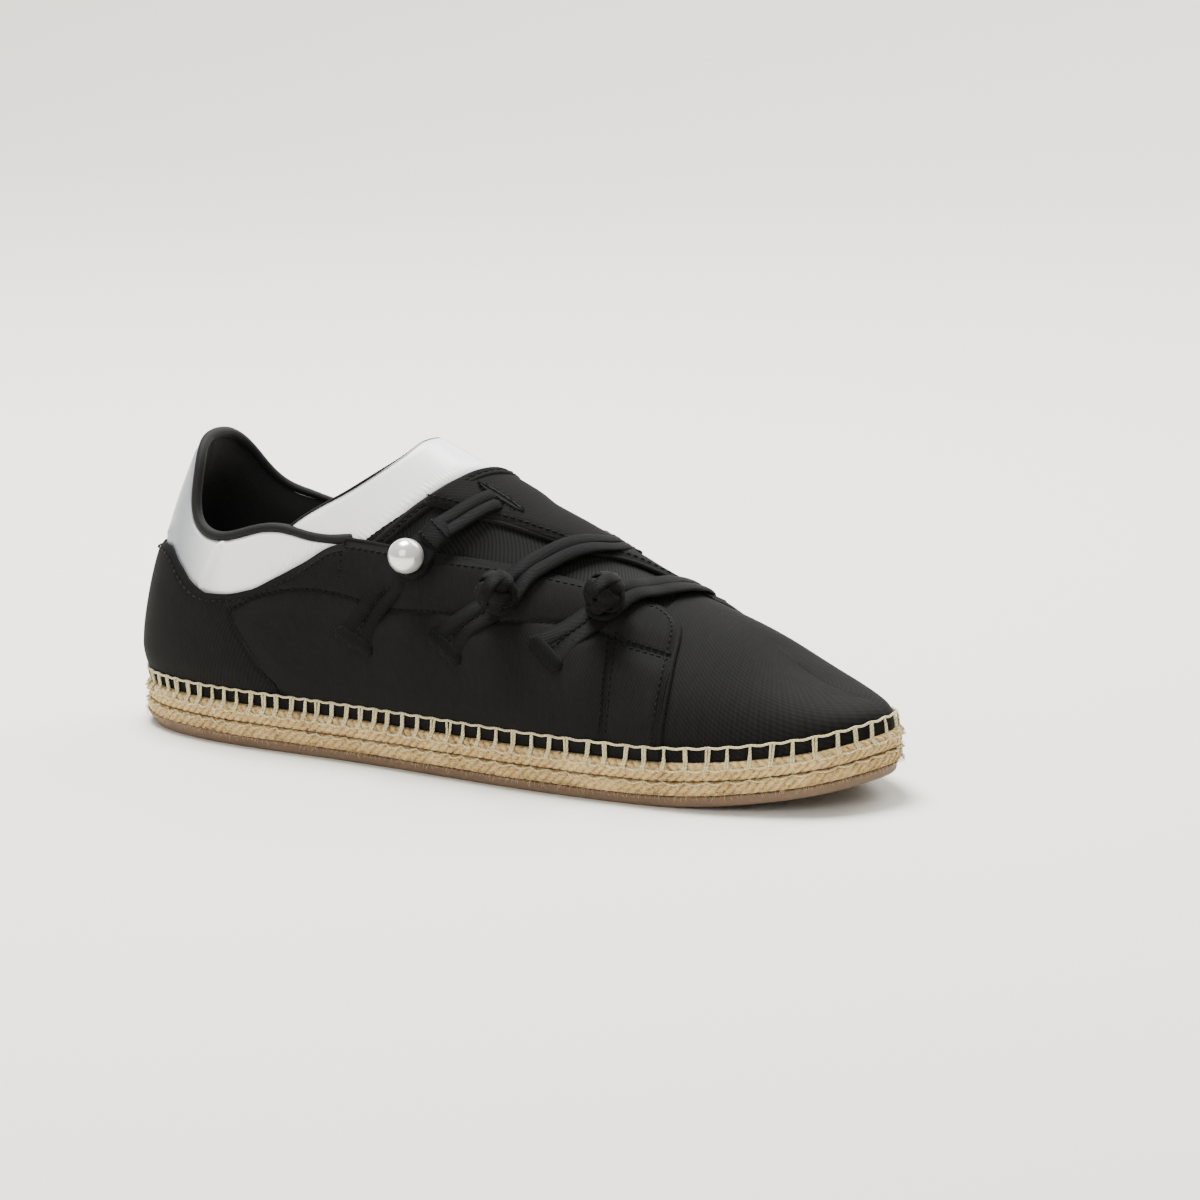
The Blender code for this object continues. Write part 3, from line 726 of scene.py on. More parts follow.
def piece(name, grid, points, lay, finish, nodes=(), outward=None, weld=0.0, thick=0.0):
    """A mesh object from a grid, its points and its lengths along and across."""
    work, pick = grid
    mesh = bpy.data.meshes.new(name)
    work.to_mesh(mesh)
    work.free()
    mesh.vertices.foreach_set("co", placed(points[pick]).astype(np.float32).ravel())
    layer = mesh.uv_layers.new(name="lay")
    corner = np.empty(len(mesh.loops), np.int32)
    mesh.loops.foreach_get("vertex_index", corner)
    layer.data.foreach_set("uv", lay[pick][corner].astype(np.float32).ravel())
    mesh.update()
    if outward is not None:
        facing = np.empty(len(mesh.vertices) * 3, np.float32)
        mesh.vertices.foreach_get("normal", facing)
        if (facing.reshape(-1, 3) * outward[pick]).sum() < 0:
            mesh.flip_normals()
    if weld:
        work = bmesh.new()
        work.from_mesh(mesh)
        bmesh.ops.remove_doubles(work, verts=work.verts, dist=weld)
        if outward is None:
            bmesh.ops.recalc_face_normals(work, faces=work.faces)
        work.to_mesh(mesh)
        work.free()
    made = finished(name, mesh, finish, nodes)
    if thick:
        wall = made.modifiers.new("cloth", "SOLIDIFY")
        wall.thickness = thick
        wall.offset = -1
    return made


def around_mean(grid):
    """The mean of each inner value's four neighbours."""
    return (grid[:-2, 1:-1] + grid[2:, 1:-1] + grid[1:-1, :-2] + grid[1:-1, 2:]) / 4


def closed_toe(points, normal):
    """A sheet whose last row is folded together, with the hollows beside the fold filled."""
    points[-1] = (points[-1] + points[-1][::-1]) / 2
    even = points.copy()
    for _ in range(420):
        wide = np.concatenate([even, even[-2:-1, ::-1]])
        even[1:, 1:-1] += 0.5 * (around_mean(wide) - even[1:, 1:-1])
    fill = np.clip(((even - points) * normal).sum(-1), 0, 0.004)
    for _ in range(60):
        fill[1:-1, 1:-1] = around_mean(fill)
    points = points + normal * fill[..., None]
    points[-1] = (points[-1] + points[-1][::-1]) / 2
    return points


def panel(name, place, rows, columns, lift, finish, nodes=(), thick=0.0, weld=0.0, fold=False):
    """A sheet over the form. place gives its places, and lift its height over the form."""
    s, t = shares(rows, columns)
    u, c = place(s, t)
    base, normal = skin(u, c), skin_normal(u, c)
    rise = lift(base.reshape(-1, 3), s.ravel(), t.ravel(), u.ravel(), c.ravel())
    points = base + normal * rise.reshape(s.shape)[..., None]
    if fold:
        points = closed_toe(points, normal)
    along = np.r_[0, np.cumsum(np.linalg.norm(np.diff(base[:, columns // 2], axis=0), axis=1))]
    steps = np.linalg.norm(np.diff(base, axis=1), axis=2)
    across = np.concatenate([np.zeros((rows + 1, 1)), np.cumsum(steps, axis=1)], 1)
    lay = np.stack([np.broadcast_to(along[:, None], s.shape), across], -1)
    grid = woven(rows, columns)
    return piece(name, grid, points, lay, finish, nodes, normal, weld, thick)


def tubes(name, centres, radius, ups, finish, around=8, tall=1.0, nodes=(), closed=False):
    """Round or flattened tubes along rows of points, joined in one mesh."""
    centres = np.asarray(centres, float)
    centres = centres[None] if centres.ndim == 2 else centres
    ups = np.broadcast_to(ups, centres.shape)
    radius = np.broadcast_to(radius, centres.shape[:2]).astype(float)
    tall = np.broadcast_to(tall, centres.shape[:2]).astype(float)
    if closed:
        ahead = np.roll(centres[:, :-1], -1, 1) - np.roll(centres[:, :-1], 1, 1)
        ahead = unit(np.concatenate([ahead, ahead[:, :1]], 1))
    else:
        ahead = unit(np.gradient(centres, axis=1))
    side = unit(np.cross(ahead, ups))
    up = np.cross(side, ahead)
    if not closed:
        rows = (centres, side, up, ahead, tall, radius)
        rows = [np.concatenate([a[:, :1], a, a[:, -1:]], 1) for a in rows]
        centres, side, up, ahead, tall, radius = rows
        push = np.zeros(radius.shape)
        push[:, 0], push[:, -1] = -radius[:, 0] * 0.5, radius[:, -1] * 0.5
        centres = centres + ahead * push[..., None]
        radius[:, 0] = radius[:, -1] = 0
    count, length = centres.shape[:2]
    angle = np.linspace(0, 2 * np.pi, around + 1)
    ring_side = side[:, :, None] * np.cos(angle)[:, None]
    ring_up = up[:, :, None] * (np.sin(angle)[:, None] * tall[..., None, None])
    points = centres[:, :, None] + (ring_side + ring_up) * radius[..., None, None]
    legs = np.linalg.norm(np.diff(centres, axis=1), axis=2)
    along = np.concatenate([np.zeros((count, 1)), np.cumsum(legs, axis=1)], 1)
    span = angle * radius.max()
    lay = np.stack(np.broadcast_arrays(along[:, :, None], span), -1)
    rows = count * length - 1
    grid = woven(rows, around)
    if count > 1:
        # The faces between one tube's end and the next one's start
        work, part = grid[0], grid[1][0].tolist()
        first = {f: min(part[v.index] for v in f.verts) for f in work.faces}
        dead = [f for f in work.faces if first[f] % length == length - 1]
        bmesh.ops.delete(work, geom=dead, context="FACES")
    points = points.reshape(count * length, around + 1, 3)
    lay = lay.reshape(count * length, around + 1, 2)
    return piece(name, grid, points, lay, finish, nodes, weld=0.000004)


def stitches(name, line, lift, pitch=0.0026, share=0.70):
    """A row of stitches along a line: the thread shows for a share of each pitch."""
    radius, samples = 0.00030, 7
    length = line.at[-1]
    count = max(2, int(length / pitch))
    start = (length - count * pitch) / 2
    part = np.linspace(0, share, samples)[None] + np.arange(count)[:, None]
    cut = start + part * pitch
    arch = np.sin(np.pi * np.linspace(0, 1, samples)) ** 0.5
    rise = lift(cut) + radius * (1.5 * arch[None] - 1.0)
    points, normals = (read_off(cut, line.at, rows) for rows in (line.points, line.normals))
    return tubes(name, points + normals * rise[..., None], radius, normals, THREAD, 5)


# Camera, floor and light
CAMERA_TURN = 0.486


def set_camera():
    azimuth, elevation, roll = (math.radians(turn) for turn in (27.87, 12.35, 0.54))
    flat = np.array([math.cos(azimuth), math.sin(azimuth), 0.0])
    away = np.array([math.sin(azimuth), -math.cos(azimuth), 0.0])
    back = away * math.cos(elevation) + np.array([0.0, 0.0, math.sin(elevation)])
    rise = np.cross(back, flat)
    right = math.cos(roll) * flat + math.sin(roll) * rise
    up = -math.sin(roll) * flat + math.cos(roll) * rise
    # The focal length, half the frame and the target's place in it are in pixels
    focal, distance, half = 5761.8504, 2.0637, 600
    target = np.array([0.145 - MIDDLE[0], -MIDDLE[1], 0.017])
    aside, above = (518.9 - half) / focal * distance, (708.15 - half) / focal * distance
    spot = target - (right * aside - up * above) + back * distance
    camera = bpy.data.objects.new("camera", bpy.data.cameras.new("camera"))
    camera.data.lens = focal / (2 * half) * 36
    camera.data.sensor_width = 36
    camera.data.clip_start, camera.data.clip_end = 0.05, 20
    turn = Matrix(np.c_[right, up, back].tolist()).to_4x4()
    camera.matrix_world = Matrix.Translation(Vector(spot)) @ turn
    bpy.context.scene.collection.objects.link(camera)
    bpy.context.scene.camera = camera


def set_stage():
    """A pale floor that curves up into the backdrop."""
    work = bmesh.new()
    bmesh.ops.create_grid(work, x_segments=60, y_segments=60, size=1.0)
    for v in work.verts:
        x, y = v.co.x * 6.0, v.co.y * 6.0
        far = max(0.0, y * math.cos(CAMERA_TURN) - x * math.sin(CAMERA_TURN) - 1.4)
        v.co = (x, y, far**2 * 0.55)
    mesh = bpy.data.meshes.new("floor")
    work.to_mesh(mesh)
    work.free()
    mesh.shade_smooth()
    f = Finish("floor paper", "floor")
    tone = f.grain(3.0, 2.0)
    f.done(f.shade(tone, (0.840, 0.824, 0.752), (0.855, 0.838, 0.766)), 0.9)
    mesh.materials.append(f.material)
    floor = bpy.data.objects.new("floor", mesh)
    bpy.context.scene.collection.objects.link(floor)


def set_lights():
    world = bpy.data.worlds.new("studio")
    world.use_nodes = True
    sky = world.node_tree.nodes["Background"]
    sky.inputs["Color"].default_value = (1.0, 0.985, 0.952, 1)
    sky.inputs["Strength"].default_value = 0.54
    bpy.context.scene.world = world
    rows = (
        # name, place, size, power
        ("key", (-0.42, 0.22, 1.65), 0.8, 88.0),
        ("fill", (0.10, -1.75, 1.10), 1.3, 16.0),
        ("back", (0.30, 1.90, 1.50), 1.5, 48.0),
    )
    for name, place, size, power in rows:
        light = bpy.data.lights.new(name, "AREA")
        light.size, light.energy = size, power
        lamp = bpy.data.objects.new(name, light)
        lamp.location = place
        ahead = Vector((0, 0, 0.03)) - Vector(place)
        lamp.rotation_euler = ahead.to_track_quat("-Z", "Y").to_euler()
        bpy.context.scene.collection.objects.link(lamp)


set_camera()
set_stage()
set_lights()


# The upper
def heel_line(t):
    """The station of the heel cover's front seam, by a share of the satin's foot."""
    share = (0, 0.11, 0.20, 0.36, 0.68, 0.86, 1)
    return np.interp(t, share, (0.291, 0.285, 0.280, 0.258, 0.228, 0.217, 0.211))


def heel_wrap(s, t):
    """Places of the heel cover, from the outer side round the back to the inner side."""
    turn = (s - 0.5) * 2 * (heel_line(t) + 0.002)
    u = np.abs(turn)
    c = t * satin_foot(u)
    return u, np.where(turn <= 0, c, 2 - c)


def quarter_top(u):
    """The top edge of the black outer quarter: along the satin, then its own edge."""
    return np.where(u < 0.350, satin_foot(u), lateral_edge(u))


def quarter_place(s, t):
    share = (0.0, 0.25, 0.6, 0.84, 0.92, 0.97, 1.0)
    front = np.interp(t, share, (0.750, 0.750, 0.746, 0.739, 0.733, 0.722, 0.706))
    back = heel_line(t)
    u = back + (front - back) * s
    return u, t * quarter_top(u)


FLAP_EDGE = (
    (0.400, 0.620), (0.430, 0.637), (0.455, 0.665), (0.490, 0.697), (0.520, 0.735), (0.565, 0.790),
    (0.610, 0.870), (0.630, 0.945), (0.665, 1.060), (0.710, 1.160), (0.745, 1.190), (0.780, 1.200),
)
flap_low = edge_curve(FLAP_EDGE)
INNER_BACK = (
    # share across, station
    (0.000, 0.291), (0.018, 0.285), (0.033, 0.280), (0.059, 0.258), (0.110, 0.228), (0.139, 0.217),
    (0.161, 0.211), (0.194, 0.273), (0.231, 0.308), (0.264, 0.350), (0.300, 0.374), (0.337, 0.400),
    (0.396, 0.426), (0.454, 0.450), (0.557, 0.479), (0.667, 0.485), (0.769, 0.476), (0.853, 0.464),
    (0.927, 0.449), (0.978, 0.438), (1.000, 0.434),
)


def inner_place(s, t):
    share = (0.0, 0.3, 0.6, 0.85, 1.0)
    front = np.interp(t, share, (0.768, 0.762, 0.755, 0.744, 0.722))
    back = edge_curve(INNER_BACK)(t)
    u = back + (front - back) * s
    low = np.where(u < 0.43, 0.637, flap_low(u))
    return u, 2 + (low - 2) * t


def along(curve, stations):
    """Places on an edge at some stations."""
    return [(u, float(curve(u))) for u in stations]


def inner_foot(u):
    return 2 - satin_foot(u)


QUARTER_FRONT = [
    (0.705, 0.790), (0.722, 0.765), (0.733, 0.715), (0.739, 0.640), (0.744, 0.520), (0.748, 0.400),
    (0.750, 0.250), (0.750, 0.130), (0.750, 0.055),
]
quilt, heel_seam = Line(QUILT_SEAM), Line(HEEL_SEAM)
patch_back, patch_top = Line(PATCH_BACK), Line(PATCH_TOP)
inner_seam, inner_slant, inner_heel = Line(INNER_SEAM), Line(INNER_SLANT), Line(INNER_HEEL)
quarter_edge = Line(along(lateral_edge, np.linspace(0.350, 0.690, 18)) + QUARTER_FRONT)
flap_edge = Line(along(flap_low, np.linspace(0.428, 0.722, 16)))
satin_line = Line(along(satin_foot, np.linspace(0.35, 0.002, 16)))
inner_satin_line = Line(along(inner_foot, np.linspace(0.002, 0.33, 14)))
inner_front = Line(((0.722, 1.18), (0.744, 1.30), (0.755, 1.51), (0.762, 1.75), (0.768, 1.97)))
side_seam = Line(((0.1935, 0.325), (0.182, 0.284), (0.168, 0.240)))


def hemmed(points, rise, edge):
    """Cloth that rounds down to its turned edge."""
    turned, least, reach = 0.0005, 0.40, 0.0022
    rim = nearest(points, *edge)
    return rise * (least + (1 - least) * (1 - np.exp(-((rim / reach) ** 2)))) + turned


def puffed(points, seams, depth):
    """Cloth that swells between its seams and is drawn down along them."""
    reach, groove, sunk = 0.0055, 0.0010, 0.0008
    away = nearest(points, *seams)
    swell = depth * (1 - np.exp(-((away / reach) ** 2)))
    return swell - sunk * np.exp(-((away / groove) ** 2))


def above_sole(points, low=-0.001, high=0.013):
    """From 0 at the sole's edge to 1 higher up the cloth."""
    return ease(low, high, points[:, 2] - SOLE_HEIGHT - toe_rise(points[:, 0]))


def sewn_cloth(seams, edges, depth, least, waves, flat_edge=None):
    """The lift of a black panel over the form, from its seams and its turned edges. depth is
    its swell, least its share of that at the sole, and waves their height, size and seed."""
    seams, edges = ([line.points for line in lines] for lines in (seams, edges))
    high, size, seed = waves

    def lift(points, s, t, u, c):
        rise = hemmed(points, CLOTH_LEVEL + puffed(points, seams, depth), edges)
        if flat_edge:
            rise = rise * (0.45 + 0.55 * ease(0.0, 0.008, nearest(points, flat_edge.points)))
        foot = above_sole(points)
        rise = rise * (least + (1 - least) * foot)
        return rise + high * drift(points, size, seed) * foot

    return lift


quarter_lift = sewn_cloth(
    (quilt, heel_seam, patch_back, patch_top), (quarter_edge, satin_line),
    0.0015, 0.15, (0.00022, 0.022, 3),
)
inner_lift = sewn_cloth(
    (inner_seam, inner_slant, inner_heel), (flap_edge, inner_satin_line, inner_front),
    0.0010, 0.15, (0.00025, 0.025, 5), inner_front,
)
heel_lift = sewn_cloth(
    (heel_seam, inner_heel), (satin_line, inner_satin_line),
    0.0010, 0.20, (0.00022, 0.028, 7),
)


def vamp_place(s, t):
    back = 0.708
    return back + (1 - back) * s, 2 * t


def vamp_lift(points, s, t, u, c):
    return 0.0002 + 0.00022 * drift(points, 0.045, 11) * above_sole(points, 0.0, 0.005)


def make_upper():
    panel("heel_cover", heel_wrap, 260, 60, heel_lift, TWILL, ("upper",), CLOTH_THICK)
    panel("outer_quarter", quarter_place, 300, 84, quarter_lift, TWILL, (), CLOTH_THICK)
    panel("inner_quarter", inner_place, 260, 100, inner_lift, TWILL, (), CLOTH_THICK)
    panel("vamp", vamp_place, 90, 150, vamp_lift, TWILL, (), 0.0, 0.00002, True)


def collar_lift(points, s, t, u, c):
    away = nearest(points, satin_line.points, inner_satin_line.points)
    run = s * COLLAR_RUN
    wave = np.sin(2 * np.pi * run / 0.0021 + 1.3 * np.sin(run * 410) + 0.8 * np.sin(run * 170))
    pucker = np.exp(-(((away - 0.0034) / 0.0024) ** 2))
    tuck = 0.00012 * pucker * wave * (0.8 + 0.5 * drift(points, 0.006, 31))
    end = ease(0.0, 0.0035, away) * ease(1.0, 0.94, t)
    seam = np.exp(-((nearest(points, side_seam.points) / 0.0009) ** 2))
    # Behind the black cloth the satin's turned-in edge sinks
    side = np.where(c < 1, c, 2 - c)
    sink = 0.0016 * ease(0.0, 0.004, away) * (side < satin_foot(u))
    waves = 0.00018 * drift(points, 0.024, 13) * end
    return -0.0001 + 0.0009 * end + tuck + 0.0010 * seam - sink + waves


def satin_place(s, t):
    """The satin collar, from its front end on the outer side round the heel to the inner side."""
    outer_end, inner_end, lap = 0.352, 0.341, 0.020
    turn = s * (outer_end + inner_end) - outer_end
    u = np.abs(turn)
    foot = satin_foot(u) - lap
    rim = outer_rim(u)
    outer = foot + (rim - foot) * t
    inner = 2 - foot + (medial_edge(u) - (2 - foot)) * t
    return u, np.where(turn <= 0, outer, inner)


def band_curves(s):
    turn = np.linspace(0, 1, len(BAND_RIM))
    return natural_spline(turn, BAND_RIM)(s), natural_spline(turn, BAND_FOOT)(s)


def band_place(s, t):
    rim, foot = band_curves(s)
    spot = rim + (foot - rim) * t[..., None]
    return spot[..., 0], spot[..., 1]


def band_level(s):
    """The band goes from under the outer quarter up over the flap's side."""
    return -0.0010 + 0.0012 * ease(0.10, 0.50, s)


def band_lift(points, s, t, u, c):
    run = s * BAND_RUN
    wave = np.sin(2 * np.pi * run / 0.0023 + 1.1 * np.sin(run * 380))
    pucker = np.exp(-(((0.84 - t) / 0.10) ** 2))
    tuck = 0.00010 * pucker * wave * (0.8 + 0.5 * drift(points, 0.006, 37))
    body = 0.0009 * ease(0.0, 0.10, t) * ease(1.0, 0.88, t)
    return band_level(s) + body + tuck + 0.00012 * drift(points, 0.030, 17)


# Share across, station
TONGUE_BACK = (
    (0.00, 0.330), (0.10, 0.345), (0.20, 0.375), (0.38, 0.410), (0.56, 0.430), (1.00, 0.450),
)


def tongue_place(s, t):
    back = edge_curve(TONGUE_BACK)(t)
    u = back + (0.790 - back) * s
    low, high = lateral_edge(u) - 0.085, medial_edge(u) + 0.060
    return u, low + (high - low) * t


def tongue_lift(points, s, t, u, c):
    return -0.0004 + 0.00025 * drift(points, 0.020, 19)


def lining_lift(points, s, t, u, c):
    return -WALL - 0.0002 + 0.0002 * drift(points, 0.02, 23) + 0.0020 * ease(0.89, 1.0, t)


def make_collar():
    panel("satin_collar", satin_place, 1150, 16, collar_lift, WHITE, (), SATIN_THICK)
    panel("satin_band", band_place, 500, 18, band_lift, WHITE, (), SATIN_THICK)
    # The linings face the foot
    under = lambda points, s, t, u, c: band_level(s) - 0.0012
    panel("band_lining", band_place, 160, 12, under, LIGHTENED_LINING).data.flip_normals()
    panel("tongue_cloth", tongue_place, 130, 50, tongue_lift, RIBBED, ("tongue",), 0.0010)
    outer = lambda s, t: (s, t * lateral_edge(s))
    inner = lambda s, t: (s, 2 + (medial_edge(s) - 2) * t)
    for name, place in (("outer_lining", outer), ("inner_lining", inner)):
        panel(name, place, 110, 24, lining_lift, LIGHTENED_LINING).data.flip_normals()


def make_collar_roll():
    """Padded roll round the rim, from the outer side's front end to the inner side."""
    outer = (0.356, 0.331, 0.30, 0.275, 0.25, 0.219, 0.193, 0.167, 0.137, 0.113, 0.08, 0.04, 0.012)
    inner = (0.012, 0.04, 0.08, 0.12, 0.16, 0.20, 0.24, 0.28, 0.305)
    ends = [
        Line(along(curve, stations), 0.0018).beside(-0.0013)
        for curve, stations in ((outer_rim, outer), (medial_edge, inner))
    ]
    points = np.concatenate([line.points for line in ends])
    normals = np.concatenate([line.normals for line in ends])
    keep = np.r_[True, np.linalg.norm(np.diff(points, axis=0), axis=1) > 0.0004]
    points, normals = smoothed(points[keep], 8), unit(smoothed(normals[keep], 10))
    count = len(points)
    order = np.arange(count)
    full = 0.0019 * (1 - 0.55 * ease(count - 40, count, order))
    full = full * (1 + 0.10 * np.exp(-((order - 1.5) / 2.0) ** 2))
    full = full * (1 + 0.03 * np.sin(order * 0.55) * np.sin(order * 0.13))
    roll = tubes("collar_roll", points - normals * 0.0009, full, normals, LINING, 16)


def make_instep_binding():
    rim = Line(BAND_RIM, 0.0012)
    share = rim.at / rim.at[-1]
    centres = rim.points + rim.normals * (band_level(share) + 0.0001)[:, None]
    thick = 0.0005 * (1 - 0.7 * ease(0.25, 0.5, share) * ease(0.95, 0.7, share))
    tubes("instep_binding", centres, thick, rim.normals, LINING, 8)


def make_band_strip():
    """A turned black strip along the band's lower edge, with its row of stitches."""
    rows, columns, wide, lap = 260, 12, 0.0052, 0.0004
    line = Line(BAND_FOOT, count=rows + 1)
    share = line.at / line.at[-1]
    across = [wide * k / columns - lap for k in range(columns + 1)]
    places = np.stack([shifted(line.places, -line.side * aside) for aside in across], 1)
    level = band_level(share) + 0.0012 * ease(0.25, 0.5, share)

    def lift(points, s, t, u, c):
        body = 0.0010 * ease(0.0, 0.22, t) * ease(1.0, 0.80, t)
        groove = 0.00035 * np.exp(-(((t - 0.5) / 0.07) ** 2))
        waves = 0.00012 * drift(points, 0.012, 29)
        return 0.0004 + body - groove + level.repeat(columns + 1) + waves

    place = lambda s, t: (places[..., 0], places[..., 1])
    panel("band_strip", place, rows, columns, lift, TWILL, (), SATIN_THICK)
    row = line.beside(-(wide * 0.5 - lap))
    high = lambda cut: 0.0012 + np.interp(cut, line.at, level)
    stitches("band_strip_stitches", row, high)


def smoothed(rows, times):
    rows = np.array(rows, float)
    for _ in range(times):
        rows[1:-1] = rows[1:-1] / 2 + (rows[:-2] + rows[2:]) / 4
    return rows


def make_edges():
    """Piping along the turned edges, and the rows of stitches."""
    for name, line, radius, lift in (
        ("quarter_piping", quarter_edge, 0.00095, 0.0005),
        ("flap_piping", flap_edge, 0.00090, 0.0004),
        ("front_piping", inner_front, 0.00060, 0.0001),
    ):
        centres = line.points + line.normals * lift
        tubes(name, centres[::2], radius, line.normals[::2], TWILL, 9)
    outer, inner = quarter_lift, inner_lift
    outer_hem = Line(along(satin_foot, np.linspace(0.35, 0.020, 16)))
    inner_hem = Line(along(inner_foot, np.linspace(0.020, 0.30, 14)))
    for name, line, cloth in (
        ("quarter_stitches", quarter_edge.beside(-SEAM_INSET), outer),
        ("flap_stitches", flap_edge.beside(SEAM_INSET), inner),
        ("satin_edge_stitches", outer_hem.beside(SEAM_INSET), outer),
        ("inner_satin_stitches", inner_hem.beside(SEAM_INSET), inner),
        ("quilt_stitches", quilt, outer),
        ("heel_seam_stitches", heel_seam, outer),
        ("patch_back_stitches", patch_back.beside(TWIN_INSET), outer),
        ("patch_back_second", patch_back.beside(-TWIN_INSET), outer),
        ("patch_top_stitches", patch_top.beside(TWIN_INSET), outer),
        ("patch_top_second", patch_top.beside(-TWIN_INSET), outer),
        ("inner_seam_stitches", inner_seam, inner),
        ("inner_slant_stitches", inner_slant, inner),
        ("inner_heel_stitches", inner_heel, inner),
    ):
        u, c = line.places.T
        level = cloth(line.points, None, None, u, c)
        stitches(name, line, lambda cut: np.interp(cut, line.at, level))


# The sole
def round_grid(rows, columns):
    """Distances round the sole and column numbers."""
    return np.meshgrid(np.arange(rows + 1) * GIRTH / rows, np.arange(columns + 1), indexing="ij")


def ring_sheet(name, rows, profile, relief, finish, nodes=()):
    """A band round the sole. profile gives outset and height rows from top to bottom."""
    profile = np.array(profile)
    columns = len(profile) - 1
    s, t = round_grid(rows, columns)
    outset, height = profile[t].transpose(2, 0, 1)
    outset = outset + relief(s, height, t / columns)
    points = round_sole(s, outset, height)
    lay = np.stack([s, height], -1)
    return piece(name, woven(rows, columns), points, lay, finish, nodes, weld=0.000005)


def arc_profile(foot, thick, inner, bulge, count):
    """A rope tier's side: in over its top, out round its swell and in under it."""
    angle = np.linspace(math.pi / 2, -math.pi / 2, count)
    squared = lambda wave: np.sign(wave) * np.abs(wave) ** 0.75
    out = inner + (bulge - inner) * squared(np.cos(angle))
    height = foot + thick / 2 + thick / 2 * squared(np.sin(angle))
    return [(inner - 0.010, foot + thick), *zip(out, height), (inner - 0.010, foot)]


def strand_relief(phase, t, sunk, sway, fuzz):
    """How far a tier's strands stand out: round between their grooves, and furry."""
    strand = np.abs(np.sin(np.pi * phase)) ** 0.7
    inside = ease(0.0, 0.12, t) * ease(1.0, 0.88, t)
    return (0.00060 * strand - sunk + sway + fuzz) * inside


def chevron(s, height, t):
    """Strands that meet in a groove along the upper tier's middle."""
    v = (height - UPPER_ROPE_FOOT) / UPPER_ROPE_THICK
    lean = np.abs(v - BRAID_MIDDLE) * UPPER_SLANT
    sunk = 0.0004 + 0.0004 * np.exp(-((v - BRAID_MIDDLE) / 0.07) ** 2)
    fuzz = 0.00012 * np.sin(s * 2890 + height * 3100) * np.sin(s * 1730 - height * 2300)
    phase = s / UPPER_STRAND + lean + 0.12 * np.sin(s * 90)
    return strand_relief(phase, t, sunk, 0.00020 * np.sin(s * 211), fuzz)


def slanted(s, height, t):
    """Strands that lie one way over the lower tier."""
    lean = (height - LOWER_ROPE_FOOT) / LOWER_ROPE_THICK * LOWER_SLANT
    fuzz = 0.00014 * np.sin(s * 2610 + height * 2900) * np.sin(s * 1510 - height * 2500)
    phase = s / LOWER_STRAND + lean + 0.15 * np.sin(s * 75)
    return strand_relief(phase, t, 0.0003, 0.00022 * np.sin(s * 173 + 1), fuzz)


def make_rope():
    profile = arc_profile(UPPER_ROPE_FOOT, UPPER_ROPE_THICK, 0.0002, ROPE_BULGE, 13)
    ring_sheet("upper_rope_braid", 2600, profile, chevron, UPPER_JUTE, ("rope_upper",))
    profile = arc_profile(LOWER_ROPE_FOOT, LOWER_ROPE_THICK, 0.0006, ROPE_BULGE * 1.02, 11)
    ring_sheet("lower_rope_braid", 2400, profile, slanted, LOWER_JUTE, ("rope_lower",))


def make_outsole_side():
    """The rubber's edge, with a welt along its top that grows at the heel."""
    # Share of the rope's bulge, height, from the top to the floor
    top = OUTSOLE_THICK
    side = [
        (0.35, top), (0.52, top - 0.0002), (0.58, top - 0.0007), (0.50, top - 0.0011),
        (0.44, top - 0.0013), (0.42, top - 0.0022), (0.34, 0.0006), (0.10, 0.0),
    ]
    side = np.array([(-0.012, top)] + [(ROPE_BULGE * out, height) for out, height in side])
    rows, columns = 700, len(side) - 1
    s, t = round_grid(rows, columns)
    outset, height = side[t].transpose(2, 0, 1)
    heel = np.exp(-((np.minimum(s, GIRTH - s) / 0.075) ** 4)) * ease(0.0008, 0.0030, height)
    points = round_sole(s, outset, height)
    points[..., 2] += 0.0014 * heel
    points[..., :2] = plan_ring(turn_at(s), outset + ROPE_BULGE * 0.55 * heel * (t > 0))
    under = floor_side(points[..., 0], points[..., 1]) - toe_rise(points[..., 0])
    points[..., 2] += under * np.clip(1 - height / (top * 0.6), 0, 1)
    lay = np.stack([s, -height], -1)
    grid = woven(rows, columns)
    piece("outsole_side", grid, points, lay, RUBBER, ("outsole",), weld=0.000005)


def sole_sheet(name, rows, columns, outset, short, height, finish, nodes, facing, thick=0.0):
    """A sheet over the whole sole. height gives its height by its places in plan, the
    lengths across it and the depths inside its edge."""
    s, t = shares(rows, columns)
    station = 0.0005 + s * 0.999
    out = np.full(s.shape, outset)
    lateral, medial = plan_ring(station, out), plan_ring(2 - station, out)
    plan = lateral * (1 - t[..., None]) + medial * t[..., None]
    width = np.linalg.norm(medial - lateral, axis=-1)
    ends = np.minimum(plan[..., 0] - short, LENGTH - short - plan[..., 0])
    rim = np.minimum(np.minimum(t, 1 - t) * width, ends)
    z = height(plan[..., 0], plan[..., 1], t * width, rim)
    points = np.concatenate([plan, z[..., None]], -1)
    outward = np.broadcast_to(np.array([0.0, 0.0, facing]), points.shape)
    grid = woven(rows, columns)
    return piece(name, grid, points, plan, finish, nodes, outward, 0.0, thick)


def tread(x, y, across, rim):
    """Zigzag bars that stand down to the floor inside a plain rim."""
    phase = x / 0.0065 + np.abs(np.mod(across / 0.022, 1.0) - 0.5) * 2.2
    bar = ease(0.30, 0.42, np.abs(np.mod(phase, 1.0) - 0.5))
    return floor_side(x, y) + 0.0011 * (1 - bar) * ease(0.004, 0.0052, rim)


def footbed(x, y, across, rim):
    """The insole's top, round at its edge and a little dished."""
    base = UPPER_ROPE_FOOT + UPPER_ROPE_THICK + GAP
    edge = 0.35 + 0.65 * ease(0.0, 0.0040, rim)
    return base + toe_rise(x) + INSOLE_THICK * edge - 0.0006 * ease(0.006, 0.025, rim)


